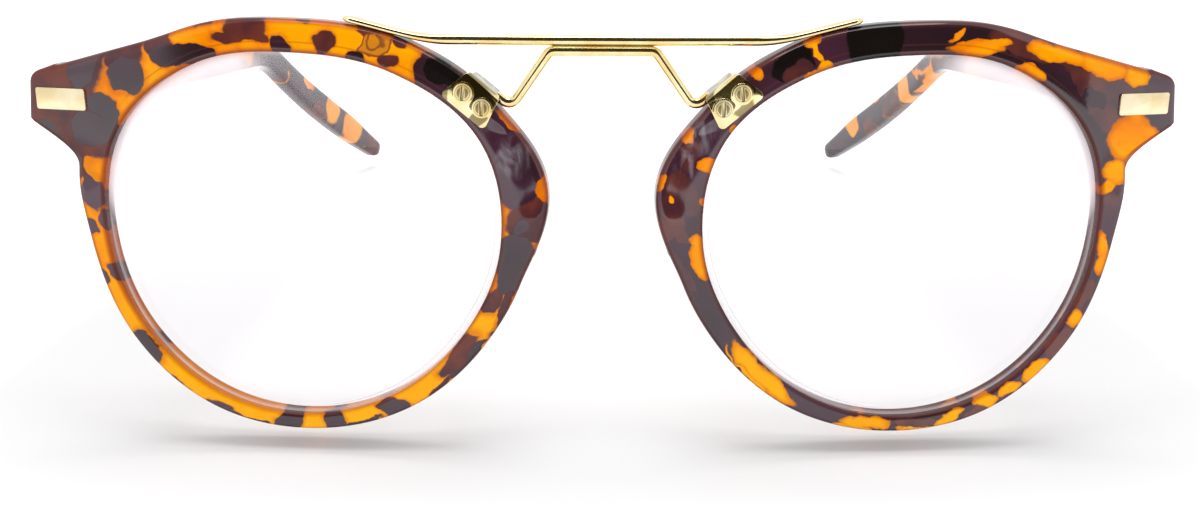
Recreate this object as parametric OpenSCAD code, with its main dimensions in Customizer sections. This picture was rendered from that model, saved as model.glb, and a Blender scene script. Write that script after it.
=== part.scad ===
// Round tortoiseshell glasses with a gold brow bar and a gold bridge wire.
// Millimetres, +Z up. The front faces -Y, the temples run back along +Y, and the
// wearer's right side is at -X. The glasses stand on z = 0, on the lower edges of
// the two rims and on the temple tips, with the origin under the middle.
//
// One side is drawn in flat rim axes: x from the centre plane, y back from the front
// face, z from the middle of the lens. side_of() turns and mirrors it into place.
// An angle around a lens starts at the nose and runs up over the top: 0 is the nose
// side, 90 the top, 180 the temple side and 270 the bottom.

/* [Lens and rim] */
// width of the lens opening
lens_w = 49.2; // [46:0.2:53]
// space between the two lens openings
lens_gap = 25; // [22:0.5:28]
// radius of the lens's front surface
lens_curve_r = 140; // [120:5:200]
// thickness of the lens
lens_t = 1.5; // [1.2:0.1:1.6]
// depth of the groove that holds the lens
groove_depth = 0.6; // [0.4:0.05:0.7]
// clearance round the lens in its groove
lens_play = 0.03; // [0.02:0.01:0.05]
// thickness of the front from face to back
front_t = 4.2; // [4:0.1:4.8]
// width of the rim over the lens
rim_top_w = 4.05; // [3.6:0.05:4.6]
// width of the rim under the lens
rim_bottom_w = 2.05; // [1.8:0.05:2.8]
// width of the rim beside the temple
rim_side_w = 2.25; // [1.9:0.05:3]
// width of the rim beside the nose, without its bump
rim_nose_w = 3.7; // [3.2:0.1:4.4]
// how far the nose bump stands out of the rim
nose_bump = 2.05; // [1.2:0.05:2.6]
// how far back each rim is turned from flat
wrap = 3; // [1:0.5:5]

/* [End piece and plaque] */
// width of the whole front
front_w = 141.8; // [138:0.2:148]
// height of the end piece at its outer end
end_h = 5.8; // [5.4:0.1:6.4]
// height of the end piece's top corner over the middle of the lens
end_top = 20.1; // [19.5:0.1:21]
// slope of the top edge that runs out to the end piece
end_slope = 14.9; // [12:0.5:17]
// angle at which the end piece is turned back
end_turn = 12; // [8:1:14]
// length of the gold plaque
plaque_l = 6.9; // [6:0.1:7.2]
// height of the gold plaque
plaque_h = 2.65; // [2:0.05:3]
// thickness of the plaque
plaque_t = 0.55; // [0.5:0.05:0.8]
// diameter of the two pins behind the plaque
plaque_pin_d = 1; // [0.8:0.1:1.2]

/* [Brow bar and bridge wire] */
// diameter of the brow bar at its middle
bar_d = 1.25; // [1.1:0.05:1.5]
// thickness of the blade at the end of the bar
blade_t = 0.8; // [0.7:0.02:0.9]
// width of the blade from front to back
blade_w = 2.5; // [2:0.1:3]
// where the blade's seat starts, as an angle around the lens
seat_from = 62; // [60:1:65]
// where the blade's seat ends
seat_to = 78; // [75:1:80]
// width of the tab that goes down behind the rim
tab_w = 3.8; // [3:0.1:4.4]
// diameter of the bridge wire
wire_d = 1.27; // [1.1:0.01:1.5]
// half length of the wire's level part
wire_half = 6.4; // [6.2:0.1:7]
// distance of the bar's and the wire's middle behind the front face
bar_y = 1.6; // [1.4:0.1:1.9]

/* [Bridge plates and screws] */
// where the plate clips on, as an angle around the lens
plate_at = 40.2; // [38:0.2:42]
// slope of the plate's outer edge over the level
plate_tilt = 39.5; // [38:0.5:44]
// length of the plate at its inner edge
plate_l = 6.8; // [6.4:0.1:7]
// length of the plate at its outer edge
plate_outer_l = 4.8; // [4.4:0.1:5.2]
// height of the plate on the rim's face
plate_h = 4.3; // [4:0.05:4.4]
// thickness of the plate's sheet
plate_t = 0.8; // [0.7:0.05:0.9]
// distance between the two plate screws
screw_pitch = 2.85; // [2.7:0.05:3]
// diameter of the raised collar round each screw
collar_d = 2.6; // [2.3:0.05:2.7]
// diameter of a screw head
head_d = 1.85; // [1.6:0.05:1.9]
// diameter of a screw shank
shank_d = 1.2; // [1:0.05:1.3]
// clearance round pins and shanks that stay still
pin_play = 0.02; // [0.01:0.01:0.04]

/* [Hinge] */
// radius of the hinge barrels
barrel_r = 1.3; // [1.2:0.05:1.4]
// height of the three barrels together
barrel_h = 5.4; // [5:0.1:5.8]
// radius of the hinge screw's shank
hinge_pin_r = 0.66; // [0.6:0.02:0.7]
// clearance between the hinge screw and the temple's barrel
hinge_play = 0.04; // [0.03:0.01:0.06]
// gap between neighbouring barrels
barrel_gap = 0.06; // [0.04:0.01:0.1]
// distance of the hinge screw's axis behind the end piece
hinge_back = 2; // [1.8:0.1:2.3]
// gap between the end piece and the open temple
butt_gap = 0.12; // [0.1:0.01:0.2]
// thickness of the hinge leaves
leaf_t = 0.75; // [0.6:0.05:0.8]

/* [Temple] */
// length of the temple from the hinge screw to the tip, along the curve
temple_l = 134; // [128:1:140]
// distance from the hinge screw to the middle of the bend
bend_at = 78; // [74:1:84]
// radius of the bend behind the ear
bend_r = 32; // [24:1:40]
// angle of the bend behind the ear
bend_angle = 26.5; // [22:0.5:32]
// slope of the shaft below the hinge
shaft_drop = 1.8; // [0:0.2:4]
// how far the tip curves in towards the head
tip_curve = 9.4; // [5:0.2:10]
// thickness of the temple at the hinge
temple_t = 4.3; // [3.9:0.1:4.5]
// height of the temple at the hinge
temple_h = 5.4; // [5:0.1:5.8]
// height of the temple at the bend
bend_h = 4.5; // [4:0.1:5]
// height of the temple's tip
tip_h = 5.6; // [5:0.1:6.2]

/* [Nose pads] */
// length of the nose pad
pad_l = 12; // [10:0.5:13]
// width of the nose pad where it is bonded on
pad_w = 4.2; // [3.6:0.1:4.4]
// how far the nose pad stands out behind the rim
pad_depth = 4.4; // [3.4:0.1:5]

/* [Hidden] */
$fn = 48;

tortoise = [0.72, 0.38, 0.06];
gold = [0.86, 0.72, 0.36];
champagne = [0.93, 0.85, 0.67];
clear = [0.9, 0.95, 0.97, 0.35];

// Lens radius in half lens widths, every 30 degrees from the nose over the top.
lens_shape = [0.996, 1.037, 0.970, 0.937, 1.012, 1.061, 1.004, 0.976, 0.959, 0.935, 0.921, 0.935];
// Rim width every 30 degrees, in the same order.
rim_widths = [rim_nose_w, rim_top_w * 1.02, rim_top_w * 1.04, rim_top_w * 0.98, rim_top_w * 1.06,
    rim_top_w * 1.13, rim_side_w * 1.05, rim_side_w * 0.93, rim_bottom_w * 1.03, rim_bottom_w,
    (rim_bottom_w + rim_nose_w) * 0.45, (rim_bottom_w + 2 * rim_nose_w) * 0.32];
// The nose bump's middle and half width, as angles around the lens.
bump_at = 12;
bump_half = 24;

lens_x = lens_gap / 2 + lens_w / 2 * lens_shape[0];
hub_x = lens_gap / 4;
end_x = hub_x + (front_w / 2 - hub_x) / cos(wrap);
lens_front = -0.7;
lip_bevel = 0.3;
big = 20;

function clamp(v) = max(0, min(1, v));
function ease(v) = let (t = clamp(v)) t * t * (3 - 2 * t);
function mix(a, b, t) = a + (b - a) * t;
function unit(v) = v / norm(v);
function soft_min(a, b, k) = let (h = max(k - abs(a - b), 0)) min(a, b) - h * h / (4 * k);
function soft_max(a, b, k) = -soft_min(-a, -b, k);

// A smooth value between samples that are evenly spaced round a full turn.
function around(samples, angle) =
    let (n = len(samples), t = (angle + 720) % 360 / 360 * n, i = floor(t), f = t - i,
        p = [for (k = [-1:2]) samples[(i + k + n) % n]])
    p[1] + f / 2 * (p[2] - p[0] + f * (2 * p[0] - 5 * p[1] + 4 * p[2] - p[3]
        + f * (3 * (p[1] - p[2]) + p[3] - p[0])));

// A smooth value between [place, value] pairs.
function along(pairs, s, i = 0) =
    s <= pairs[0][0] ? pairs[0][1] :
    i >= len(pairs) - 1 ? pairs[len(pairs) - 1][1] :
    s <= pairs[i + 1][0] ? mix(pairs[i][1], pairs[i + 1][1],
        ease((s - pairs[i][0]) / (pairs[i + 1][0] - pairs[i][0]))) :
    along(pairs, s, i + 1);

// Outlines, as distances from the middle of the lens.
function lens_r(angle) = lens_w / 2 * around(lens_shape, angle);
function bump(angle) =
    let (off = (angle - bump_at + 540) % 360 - 180)
    abs(off) < bump_half ? nose_bump * (1 + cos(180 * off / bump_half)) / 2 : 0;
function ring_r(angle) = lens_r(angle) + around(rim_widths, angle) + bump(angle);
// Distance to a straight edge whose normal has the given angle over the x direction.
function edge_r(angle, point, normal) =
    let (facing = cos(180 - angle - normal))
    facing < 0.05 ? 1000 : ((point.x - lens_x) * cos(normal) + point.y * sin(normal)) / facing;
function end_piece_r(angle) =
    let (top = edge_r(angle, [end_x, end_top], 90 - end_slope),
        face = edge_r(angle, [end_x, end_top - end_h / 2], 5),
        under = edge_r(angle, [end_x + 0.4, end_top - end_h], -61))
    soft_min(soft_min(top, face, 1.6), under, 1.6);
function outer_r(angle) =
    angle < 100 || angle > 200 ? ring_r(angle) :
    let (ring = ring_r(angle),
        reach = soft_max(ring, end_piece_r(angle), angle < 145 ? 1 : 9))
    mix(ring, reach, ease((angle - 100) / 28));
function on_rim(angle, r) = [lens_x - r * cos(angle), r * sin(angle)];
function outer_point(angle) = on_rim(angle, outer_r(angle));
function outer_normal(angle) =
    let (t = unit(outer_point(angle + 0.2) - outer_point(angle - 0.2))) [-t.y, t.x];

// How far back the front and back faces are at a place on one side.
function end_share(z) = ease((z - 5) / 8);
function turn_back(x) =
    let (start = end_x - 12, d = x - start) d < 0 ? 0 : d < 3 ? d * d / 6 : d - 1.5;
function face_y(p) = tan(end_turn) * turn_back(p.x) * end_share(p.y);
function back_y(p) = front_t + 1.4 * ease((p.x - end_x + 14) / 5) * end_share(p.y);
end_back_y = front_t + 1.4;
function cap_y(radius, r) = lens_front + lens_curve_r - sqrt(radius * radius - r * r);
function lens_y(r) = cap_y(lens_curve_r, r);
function lens_back_y(r) = cap_y(lens_curve_r - lens_t, r);

function at(p, y) = [p.x, y, p.y];

// One slice through the rim: its face, rounded outer edge, back, and the lens groove.
function rim_slice(angle) =
    let (inner = lens_r(angle), outer = outer_point(angle), n = outer_normal(angle),
        width = outer_r(angle) - inner,
        slim = mix(1, 0.5, ease((outer.x - end_x + 8) / 6)),
        bevel = min(1.1, 0.27 * width) * slim,
        lip = on_rim(angle, inner), flat = on_rim(angle, inner + lip_bevel),
        deep = on_rim(angle, inner + groove_depth),
        shoulder = outer - n * bevel, round_edge = outer - n * bevel * 0.3,
        back_edge = outer - n * 0.6 * slim, back_round = outer - n * 0.18 * slim,
        groove_in = inner + groove_depth)
    [at(lip, face_y(lip) + lip_bevel), at(flat, face_y(flat)), at(shoulder, face_y(shoulder)),
        at(round_edge, face_y(round_edge) + bevel * 0.28), at(outer, face_y(outer) + bevel * 0.8),
        at(outer, back_y(outer) - 0.6 * slim), at(back_round, back_y(back_round) - 0.18 * slim),
        at(back_edge, back_y(back_edge)), at(flat, back_y(flat)), at(lip, back_y(lip) - lip_bevel),
        at(lip, lens_back_y(inner) + lens_play), at(deep, lens_back_y(groove_in) + lens_play),
        at(deep, lens_y(groove_in) - lens_play), at(lip, lens_y(inner) - lens_play)];

rim_angles = [for (a = [0:3:30]) a, for (a = [34:5:119]) a, for (a = [123:2:143]) a,
    for (a = [145:1:156]) a, for (a = [156.5:0.5:160]) a, for (a = [161:1.5:167]) a,
    for (a = [169:5:349]) a, 354];

// Temple: a shaft, a bend and a tip, in hinge axes with x outwards and y back.
temple_in = barrel_r + 0.3;
temple_x = temple_in + temple_t / 2;
bend_tan = bend_r * tan(bend_angle / 2);
bend_from = bend_at - bend_tan;
bend_len = bend_r * bend_angle * PI / 180;
function turned(v, a) = [v.x * cos(a) + v.y * sin(a), -v.x * sin(a) + v.y * cos(a)];
function temple_path(s) =
    let (in_bend = max(0, min(bend_len, s - bend_from)), turn = in_bend / bend_r * 180 / PI,
        rest = max(0, s - bend_from - bend_len),
        flat = [min(s, bend_from), 0] + bend_r * [sin(turn), cos(turn) - 1]
            + rest * [cos(turn), -sin(turn)],
        place = turned(flat, shaft_drop),
        past = clamp((s - bend_from) / (temple_l - bend_from)))
    [temple_x - tip_curve * past * past, place.x, place.y];
function temple_height(s) =
    along([[0, temple_h], [50, mix(temple_h, bend_h, 0.75)], [bend_at, bend_h],
        [temple_l - 22, tip_h], [temple_l - 8, tip_h]], s);
function temple_width(s) =
    along([[0, temple_t], [60, temple_t * 0.92], [temple_l - 10, temple_t * 0.76]], s);
function tip_round(s) = let (left = (temple_l - s) / 2.8)
    left >= 1 ? 1 : sqrt(max(0.03, 1 - (1 - left) * (1 - left)));
corner_steps = 20;
function soft_box(w, h, k) =
    let (a = 360 * k / corner_steps, c = cos(a), s = sin(a))
    [w / 2 * sign(c) * pow(abs(c), 0.55), h / 2 * sign(s) * pow(abs(s), 0.55)];
function temple_slice(s) =
    let (c = temple_path(s), ahead = unit(temple_path(s + 0.4) - temple_path(s - 0.4)),
        side = unit(cross(ahead, [0, 0, 1])), up = cross(side, ahead), r = tip_round(s))
    [for (k = [0:corner_steps - 1])
        let (p = soft_box(temple_width(s) * r, temple_height(s) * r, k))
        c + side * p.x + up * p.y];
temple_stops = [-hinge_back - 2, for (s = [6:8:62]) s, for (s = [68:3.5:104]) s,
    for (s = [108:5:temple_l - 6]) s, for (d = [3, 1.8, 0.9, 0.3, 0]) temple_l - d];

// Hinge place in flat rim axes.
hinge_x = end_x - 6.4;
hinge_y = end_back_y + hinge_back;
hinge_z = end_top - end_h / 2;

// How the whole part stands: the lean that brings rims and tips down together.
function side_point(p) =
    let (x = p.x - hub_x)
    [hub_x + x * cos(wrap) - p.y * sin(wrap), x * sin(wrap) + p.y * cos(wrap), p.z];
// The same for what crosses the middle, where nothing is turned.
function span_point(p, side) = let (q = p.x < hub_x ? p : side_point(p)) [side * q.x, q.y, q.z];
function span_rings(rings) = let (n = len(rings)) [
    for (i = [n - 1:-1:1]) [for (p = rings[i]) span_point(p, -1)],
    for (i = [0:n - 1]) [for (p = rings[i]) span_point(p, 1)]];
rim_points = [for (a = rim_angles) for (p = rim_slice(a)) side_point(p)];
temple_points = [for (s = temple_stops) if (s > 0) for (p = temple_slice(s))
    side_point(p + [hinge_x, hinge_y, hinge_z])];
function low(points, lean) = min([for (p = points) p.z * cos(lean) - p.y * sin(lean)]);
function find_lean(lo, hi, n) =
    let (mid = (lo + hi) / 2)
    n == 0 ? mid :
    low(temple_points, mid) > low(rim_points, mid) ? find_lean(mid, hi, n - 1) :
    find_lean(lo, mid, n - 1);
stand_lean = find_lean(-5, 15, 24);
stand_z = -low(rim_points, stand_lean);
function depths(points) = [for (p = points) p.y * cos(stand_lean) + p.z * sin(stand_lean)];
stand_y = -(min(depths(rim_points)) + max(depths(temple_points))) / 2;

// Brow bar: a level middle, then a blade that lies on the rim's top.
seat_rise = 0.25;
seat_dir = unit(outer_point(seat_to) - outer_point(seat_from));
seat_up = [-seat_dir.y, seat_dir.x];
seat_a = outer_point(seat_from) + seat_up * seat_rise;
seat_tilt = atan2(seat_dir.y, seat_dir.x);
seat_len = norm(outer_point(seat_to) - outer_point(seat_from));
bar_z = seat_a.y - seat_rise;
bar_run = (bar_z - seat_a.y - seat_up.y * blade_t / 2) / seat_dir.y;
bar_bend = seat_a + seat_up * blade_t / 2 + seat_dir * bar_run;
// The bar's middle line, from the centre plane outwards, as a distance along it.
bar_soft = 2.4;
function bar_at(s) =
    let (over = s - bar_bend.x, rise = over > bar_soft ? over : over < -bar_soft ? 0 :
        (over + bar_soft) * (over + bar_soft) / (4 * bar_soft),
        level = over > bar_soft ? 0 : over < -bar_soft ? over : over - rise)
    bar_bend + [level, 0] + seat_dir * rise;
bar_end = bar_bend.x - bar_run + seat_len;
bar_stops = [0, hub_x, for (s = [bar_bend.x - 4:1.1:bar_end - 1.6]) s,
    for (d = [1.2, 0.7, 0.3, 0]) bar_end - d];
function bar_slice(s) =
    let (c = bar_at(s), ahead = unit(bar_at(s + 0.1) - bar_at(s - 0.1)), up = [-ahead.y, ahead.x],
        blade = ease((s - bar_bend.x + 3) / 7), left = clamp((bar_end - s) / 1.2),
        tip = sqrt(max(0.08, 1 - (1 - left) * (1 - left))),
        half_y = mix(bar_d, blade_w, blade) / 2 * tip, half_z = mix(bar_d, blade_t, blade) / 2 * tip)
    [for (k = [0:17]) let (a = 20 * k, p = c + up * half_z * cos(a))
        [p.x, bar_y + half_y * sin(a), p.y]];

// Bridge plate axes: along the rim's outer edge, and outwards from it.
plate_o = outer_point(plate_at);
plate_n = [-sin(plate_tilt), cos(plate_tilt)];
plate_seat = 0.1;
flange_l = plate_outer_l - 1;
screw_row = -1.45;
screw_mid = -0.1;
function on_plate(t, n) = plate_o + t * [plate_n.y, -plate_n.x] + n * plate_n;

// Bridge wire: level under the bar, down each side, and up to the end of the plate's flange.
// Its top line meets the flat land that is cut in the bar's underside.
wire_z = bar_z - (bar_d + wire_d) / 2 + 0.02;
wire_foot = plate_seat + plate_t / 2;
wire_route = [[0, wire_z], [wire_half, wire_z], on_plate(-flange_l / 2 - 2.2, wire_foot),
    on_plate(-flange_l / 2, wire_foot)];
wire_bend = 1.2;
// Points along a route of straight runs whose corners are rounded.
function corner_arc(a, b, c, r, steps) =
    let (u = unit(a - b), v = unit(c - b), half = acos(u * v) / 2, reach = r / tan(half),
        centre = b + unit(u + v) * r / sin(half), from = b + u * reach - centre,
        turn = 180 - 2 * half, way = sign(u.x * v.y - u.y * v.x))
    [for (k = [0:steps]) let (t = -way * turn * k / steps)
        centre + [from.x * cos(t) - from.y * sin(t), from.x * sin(t) + from.y * cos(t)]];
function rounded_route(route, r, steps) =
    [route[0], for (i = [1:len(route) - 2])
        each corner_arc(route[i - 1], route[i], route[i + 1], r, steps), route[len(route) - 1]];
function tube_rings(line, r, y, sides) =
    [for (i = [0:len(line) - 1])
        let (a = line[max(0, i - 1)], b = line[min(len(line) - 1, i + 1)], t = unit(b - a),
            up = [-t.y, t.x])
        [for (k = [0:sides - 1]) let (p = line[i] + up * r * cos(360 * k / sides))
            [p.x, y + r * sin(360 * k / sides), p.y]]];

// Joins rings of points into a closed solid.
module skin(rings, closed = false) {
    n = len(rings);
    m = len(rings[0]);
    sides = [for (i = [0:n - (closed ? 1 : 2)], j = [0:m - 1])
        let (a = i * m + j, b = i * m + (j + 1) % m, c = (i + 1) % n * m + (j + 1) % m,
            d = (i + 1) % n * m + j)
        each [[a, b, c], [a, c, d]]];
    ends = closed ? [] : [for (j = [1:m - 2])
        each [[0, j + 1, j], [(n - 1) * m, (n - 1) * m + j, (n - 1) * m + j + 1]]];
    polyhedron([for (ring = rings) each ring], concat(sides, ends));
}

// Stands the finished front and temples on z = 0.
module stand() {
    translate([0, stand_y, stand_z]) rotate([-stand_lean, 0, 0]) children();
}

// Puts flat rim axes in place: side is 1 for the wearer's left and -1 for the right.
module side_of(side) {
    mirror([side < 0 ? 1 : 0, 0, 0])
        translate([hub_x, 0, 0]) rotate([0, 0, wrap]) translate([-hub_x, 0, 0]) children();
}

// Extrudes an x-z outline from one depth to another.
module through(from, to) {
    translate([0, to, 0]) rotate([90, 0, 0]) linear_extrude(to - from) children();
}

// A round rod along y at an x-z place.
module rod(p, r, from, to) {
    translate([p.x, from, p.y]) rotate([-90, 0, 0]) cylinder(r = r, h = to - from);
}

// Turns an x-z place so that x runs along the rim's edge and z outwards.
module plate_axes() {
    translate([plate_o.x, 0, plate_o.y]) rotate([0, -plate_tilt, 0]) children();
}

// Axes of the blade's seat: x along the seat, z up from it.
module seat_axes() {
    translate([seat_a.x, 0, seat_a.y]) rotate([0, -seat_tilt, 0]) children();
}

// Axes of the plaque: its middle, on the face of the end piece.
plaque_x = end_x - 4.55;
plaque_z = hinge_z - 0.1;
module plaque_axes() {
    translate([plaque_x, tan(end_turn) * turn_back(plaque_x), plaque_z])
        rotate([0, 0, end_turn]) children();
}
plaque_sink = 0.3;
plaque_pins = [plaque_x - 1.7, plaque_x + 1.7];

leaf_x = [end_x - 8.6, end_x - 1.6];
leaf_h = 4.4;
temple_leaf_h = 3.2;
temple_leaf_l = 9.4;
bar_screw_x = seat_len * 0.5;
tab_drop = 3.4;
tab_t = 0.7;
screw_depth = 3;
tab_screw = [bar_screw_x, -2];

head_t = 0.5;
collar_h = 0.25;
barrel_third = barrel_h / 3;
pad_at = 6;
pad_steps = [0, 0.25, 0.5, 0.7, 0.86, 0.96, 1];

// An outline whose corners are all rounded.
function rounded(points, r, steps = 6) =
    let (n = len(points))
    [for (i = [0:n - 1])
        each corner_arc(points[(i + n - 1) % n], points[i], points[(i + 1) % n], r, steps)];
function box_points(w, h) = [[-w / 2, -h / 2], [w / 2, -h / 2], [w / 2, h / 2], [-w / 2, h / 2]];

// A slotted screw that stands on z = 0 with its shank below.
module slotted_screw(shank_r, depth) {
    difference() {
        union() {
            cylinder(d = head_d, h = head_t);
            translate([0, 0, -depth]) cylinder(r = shank_r, h = depth + head_t / 2);
        }
        translate([-head_d, -0.15, head_t - 0.2]) cube([2 * head_d, 0.3, 1]);
    }
}

module rim(side) {
    color(tortoise) side_of(side) difference() {
        skin([for (a = rim_angles) rim_slice(a)], closed = true);
        // seats for the bar's blade and the plate's flange
        seat_axes() translate([0, -1, 0]) cube([seat_len, front_t + 2, 3]);
        plate_axes() translate([-plate_l / 2, -1, plate_seat]) cube([plate_l, front_t + 2, 3]);
        // holes for the plate screws, the bar's screw and the plaque's pins
        plate_axes() for (i = [-0.5, 0.5])
            rod([screw_mid + i * screw_pitch, screw_row], shank_d / 2 + pin_play, -1, screw_depth);
        seat_axes() rod(tab_screw, shank_d / 2 + pin_play, front_t - 2.4, front_t + 1);
        for (x = plaque_pins)
            rod([x, plaque_z], plaque_pin_d / 2 + pin_play, -1, end_back_y + 1);
        // pockets for the plaque and the hinge leaf
        plaque_axes() translate([-plaque_l / 2, -2, -plaque_h / 2])
            cube([plaque_l, 2 + plaque_sink, plaque_h]);
        translate([leaf_x[0], end_back_y - leaf_t, hinge_z - leaf_h / 2])
            cube([leaf_x[1] - leaf_x[0], 3, leaf_h]);
    }
}

module lens(side) {
    edge = groove_depth - lens_play;
    color(clear) side_of(side) intersection() {
        through(-2, 8) polygon([for (a = rim_angles) on_rim(a, lens_r(a) + edge)]);
        translate([lens_x, lens_front + lens_curve_r, 0]) difference() {
            sphere(r = lens_curve_r, $fn = 300);
            sphere(r = lens_curve_r - lens_t, $fn = 300);
        }
    }
}

module brow_bar() {
    color(gold) difference() {
        union() {
            skin(span_rings([for (s = bar_stops) bar_slice(s)]));
            // each blade widens over the rim's top and turns down behind it
            for (side = [-1, 1]) side_of(side) seat_axes() {
                translate([bar_screw_x - tab_w / 2, bar_y, -0.1])
                    cube([tab_w, front_t - bar_y + tab_t, blade_t * 0.8 + 0.1]);
                translate([bar_screw_x - tab_w / 2, front_t, -tab_drop])
                    cube([tab_w, tab_t, tab_drop + blade_t * 0.8]);
            }
        }
        // flat land for the wire below, flat undersides of the blades, and the screw holes
        translate([-hub_x, -big, bar_z - bar_d / 2 - 2 + 0.02]) cube([2 * hub_x, 2 * big, 2]);
        for (side = [-1, 1]) side_of(side) seat_axes() {
            translate([-0.6, -3, -5]) cube([seat_len + 2, 3 + front_t, 5]);
            rod(tab_screw, shank_d / 2 + pin_play, front_t - 1, front_t + 3);
        }
    }
}

module brow_bar_screws() {
    color(gold) for (side = [-1, 1]) side_of(side) seat_axes()
        translate([tab_screw.x, front_t + tab_t, tab_screw.y])
            rotate([-90, 0, 0]) slotted_screw(shank_d / 2, tab_t + 2.2);
}

module bridge_wire() {
    line = rounded_route(wire_route, wire_bend, 7);
    half = concat([line[0], [hub_x, wire_z]], [for (i = [1:len(line) - 1]) line[i]]);
    color(gold) skin(span_rings(tube_rings(half, wire_d / 2, bar_y, 16)));
}

module bridge_plate(side) {
    low_edge = plate_seat + plate_t - plate_h;
    top_edge = plate_seat + plate_t;
    // the sheet's bent profile, as depth and height
    profile = concat([[0, low_edge], [0, plate_seat], [1, plate_seat], [1, top_edge]],
        corner_arc([1, top_edge], [-plate_t, top_edge], [-plate_t, 0], plate_t * 0.8, 6),
        [[-plate_t, low_edge]]);
    face = [[-plate_l / 2, low_edge], [plate_l / 2, low_edge], [plate_outer_l / 2, top_edge],
        [-plate_outer_l / 2, top_edge]];
    color(gold) side_of(side) plate_axes() difference() {
        union() {
            intersection() {
                translate([-plate_l, 0, 0]) rotate([90, 0, 90]) linear_extrude(2 * plate_l)
                    polygon(profile);
                through(-2, 0.5) polygon(rounded(face, 0.6));
            }
            translate([-flange_l / 2, 0.2, plate_seat]) cube([flange_l, front_t - 1.1, plate_t]);
            for (i = [-0.5, 0.5])
                rod([screw_mid + i * screw_pitch, screw_row], collar_d / 2,
                    -plate_t - collar_h, -plate_t / 2);
        }
        for (i = [-0.5, 0.5]) {
            place = [screw_mid + i * screw_pitch, screw_row];
            rod(place, shank_d / 2 + pin_play, -3, 3);
            rod(place, head_d / 2 + pin_play, -3, head_t - plate_t - collar_h);
        }
    }
}

module bridge_screws(side) {
    color(gold) side_of(side) plate_axes() for (i = [-0.5, 0.5])
        translate([screw_mid + i * screw_pitch, head_t - plate_t - collar_h, screw_row])
            rotate([90, 0, 0]) slotted_screw(shank_d / 2, screw_depth - 0.2);
}

module corner_plaque(side) {
    color(champagne) side_of(side) {
        plaque_axes() through(plaque_sink - plaque_t, plaque_sink)
            polygon(rounded(box_points(plaque_l, plaque_h), 0.3, 4));
        for (x = plaque_pins)
            rod([x, plaque_z], plaque_pin_d / 2, face_y([x, plaque_z]) + plaque_sink * 0.6, end_back_y);
    }
}

module hinge_axes() {
    translate([hinge_x, hinge_y, hinge_z]) children();
}

module front_hinge(side) {
    color(gold) side_of(side) difference() {
        union() {
            translate([leaf_x[0], end_back_y - leaf_t, hinge_z - leaf_h / 2])
                cube([leaf_x[1] - leaf_x[0], leaf_t, leaf_h]);
            hinge_axes() for (way = [-1, 1]) {
                translate([0, 0, way * barrel_third - barrel_third / 2])
                    cylinder(r = barrel_r, h = barrel_third);
                // the web from the leaf to the barrel
                web = (leaf_h - barrel_third) / 2;
                translate([-0.9, -hinge_back - leaf_t / 2, way > 0 ? barrel_third / 2 : -leaf_h / 2])
                    cube([1.8, hinge_back + leaf_t / 2, web]);
            }
        }
        hinge_axes() translate([0, 0, -barrel_h])
            cylinder(r = hinge_pin_r + pin_play, h = 2 * barrel_h);
        for (x = plaque_pins)
            rod([x, plaque_z], plaque_pin_d / 2 + pin_play, 0, end_back_y);
    }
}

module hinge_screw(side) {
    color(gold) side_of(side) hinge_axes()
        translate([0, 0, barrel_h / 2]) slotted_screw(hinge_pin_r, barrel_h);
}

module temple(side) {
    color(tortoise) side_of(side) hinge_axes() difference() {
        skin([for (s = temple_stops) temple_slice(s)]);
        // square front end, and the pocket for the hinge leaf
        translate([0, -big - hinge_back + butt_gap, -big]) cube([2 * big, big, 2 * big]);
        translate([0, -0.6, -temple_leaf_h / 2])
            cube([temple_in + leaf_t, temple_leaf_l, temple_leaf_h]);
    }
}

module temple_hinge(side) {
    middle = barrel_third / 2 - barrel_gap;
    color(gold) side_of(side) hinge_axes() difference() {
        union() {
            translate([temple_in, -0.6, -temple_leaf_h / 2])
                cube([leaf_t, temple_leaf_l, temple_leaf_h]);
            translate([0, 0, -middle]) cylinder(r = barrel_r, h = 2 * middle);
            translate([0, -0.6, -middle]) cube([temple_in + leaf_t / 2, 1.5, 2 * middle]);
        }
        translate([0, 0, -barrel_h]) cylinder(r = hinge_pin_r + hinge_play, h = 2 * barrel_h);
    }
}

module nose_pad(side) {
    middle = on_rim(pad_at, (lens_r(pad_at) + outer_r(pad_at)) / 2 - 0.6);
    lengthwise = [sin(pad_at + 3), cos(pad_at + 3)];
    across = [-lengthwise.y, lengthwise.x];
    color(tortoise) side_of(side) skin([for (t = pad_steps)
        let (size = sqrt(1 - 0.93 * pow(t, 2.6)))
        [for (a = [0:15:345])
            let (p = middle + across * (pad_w / 2 * size * sin(a) - 2.2 * t)
                + lengthwise * (pad_l / 2 * size * cos(a) - 0.6 * t))
            [p.x, front_t + pad_depth * t, p.y]]]);
}

stand() rim(-1);  // right_rim
stand() rim(1);  // left_rim
stand() lens(-1);  // right_lens
stand() lens(1);  // left_lens
stand() brow_bar();
stand() brow_bar_screws();
stand() bridge_wire();
stand() bridge_plate(-1);  // right_bridge_plate
stand() bridge_plate(1);  // left_bridge_plate
stand() bridge_screws(-1);  // right_bridge_screws
stand() bridge_screws(1);  // left_bridge_screws
stand() corner_plaque(-1);  // right_corner_plaque
stand() corner_plaque(1);  // left_corner_plaque
stand() front_hinge(-1);  // right_front_hinge
stand() front_hinge(1);  // left_front_hinge
stand() hinge_screw(-1);  // right_hinge_screw
stand() hinge_screw(1);  // left_hinge_screw
stand() temple(-1);  // right_temple
stand() temple(1);  // left_temple
stand() temple_hinge(-1);  // right_temple_hinge
stand() temple_hinge(1);  // left_temple_hinge
stand() nose_pad(-1);  // right_nose_pad
stand() nose_pad(1);  // left_nose_pad
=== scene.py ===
import math

import bmesh
import bpy
from mathutils import Matrix, Vector


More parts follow.
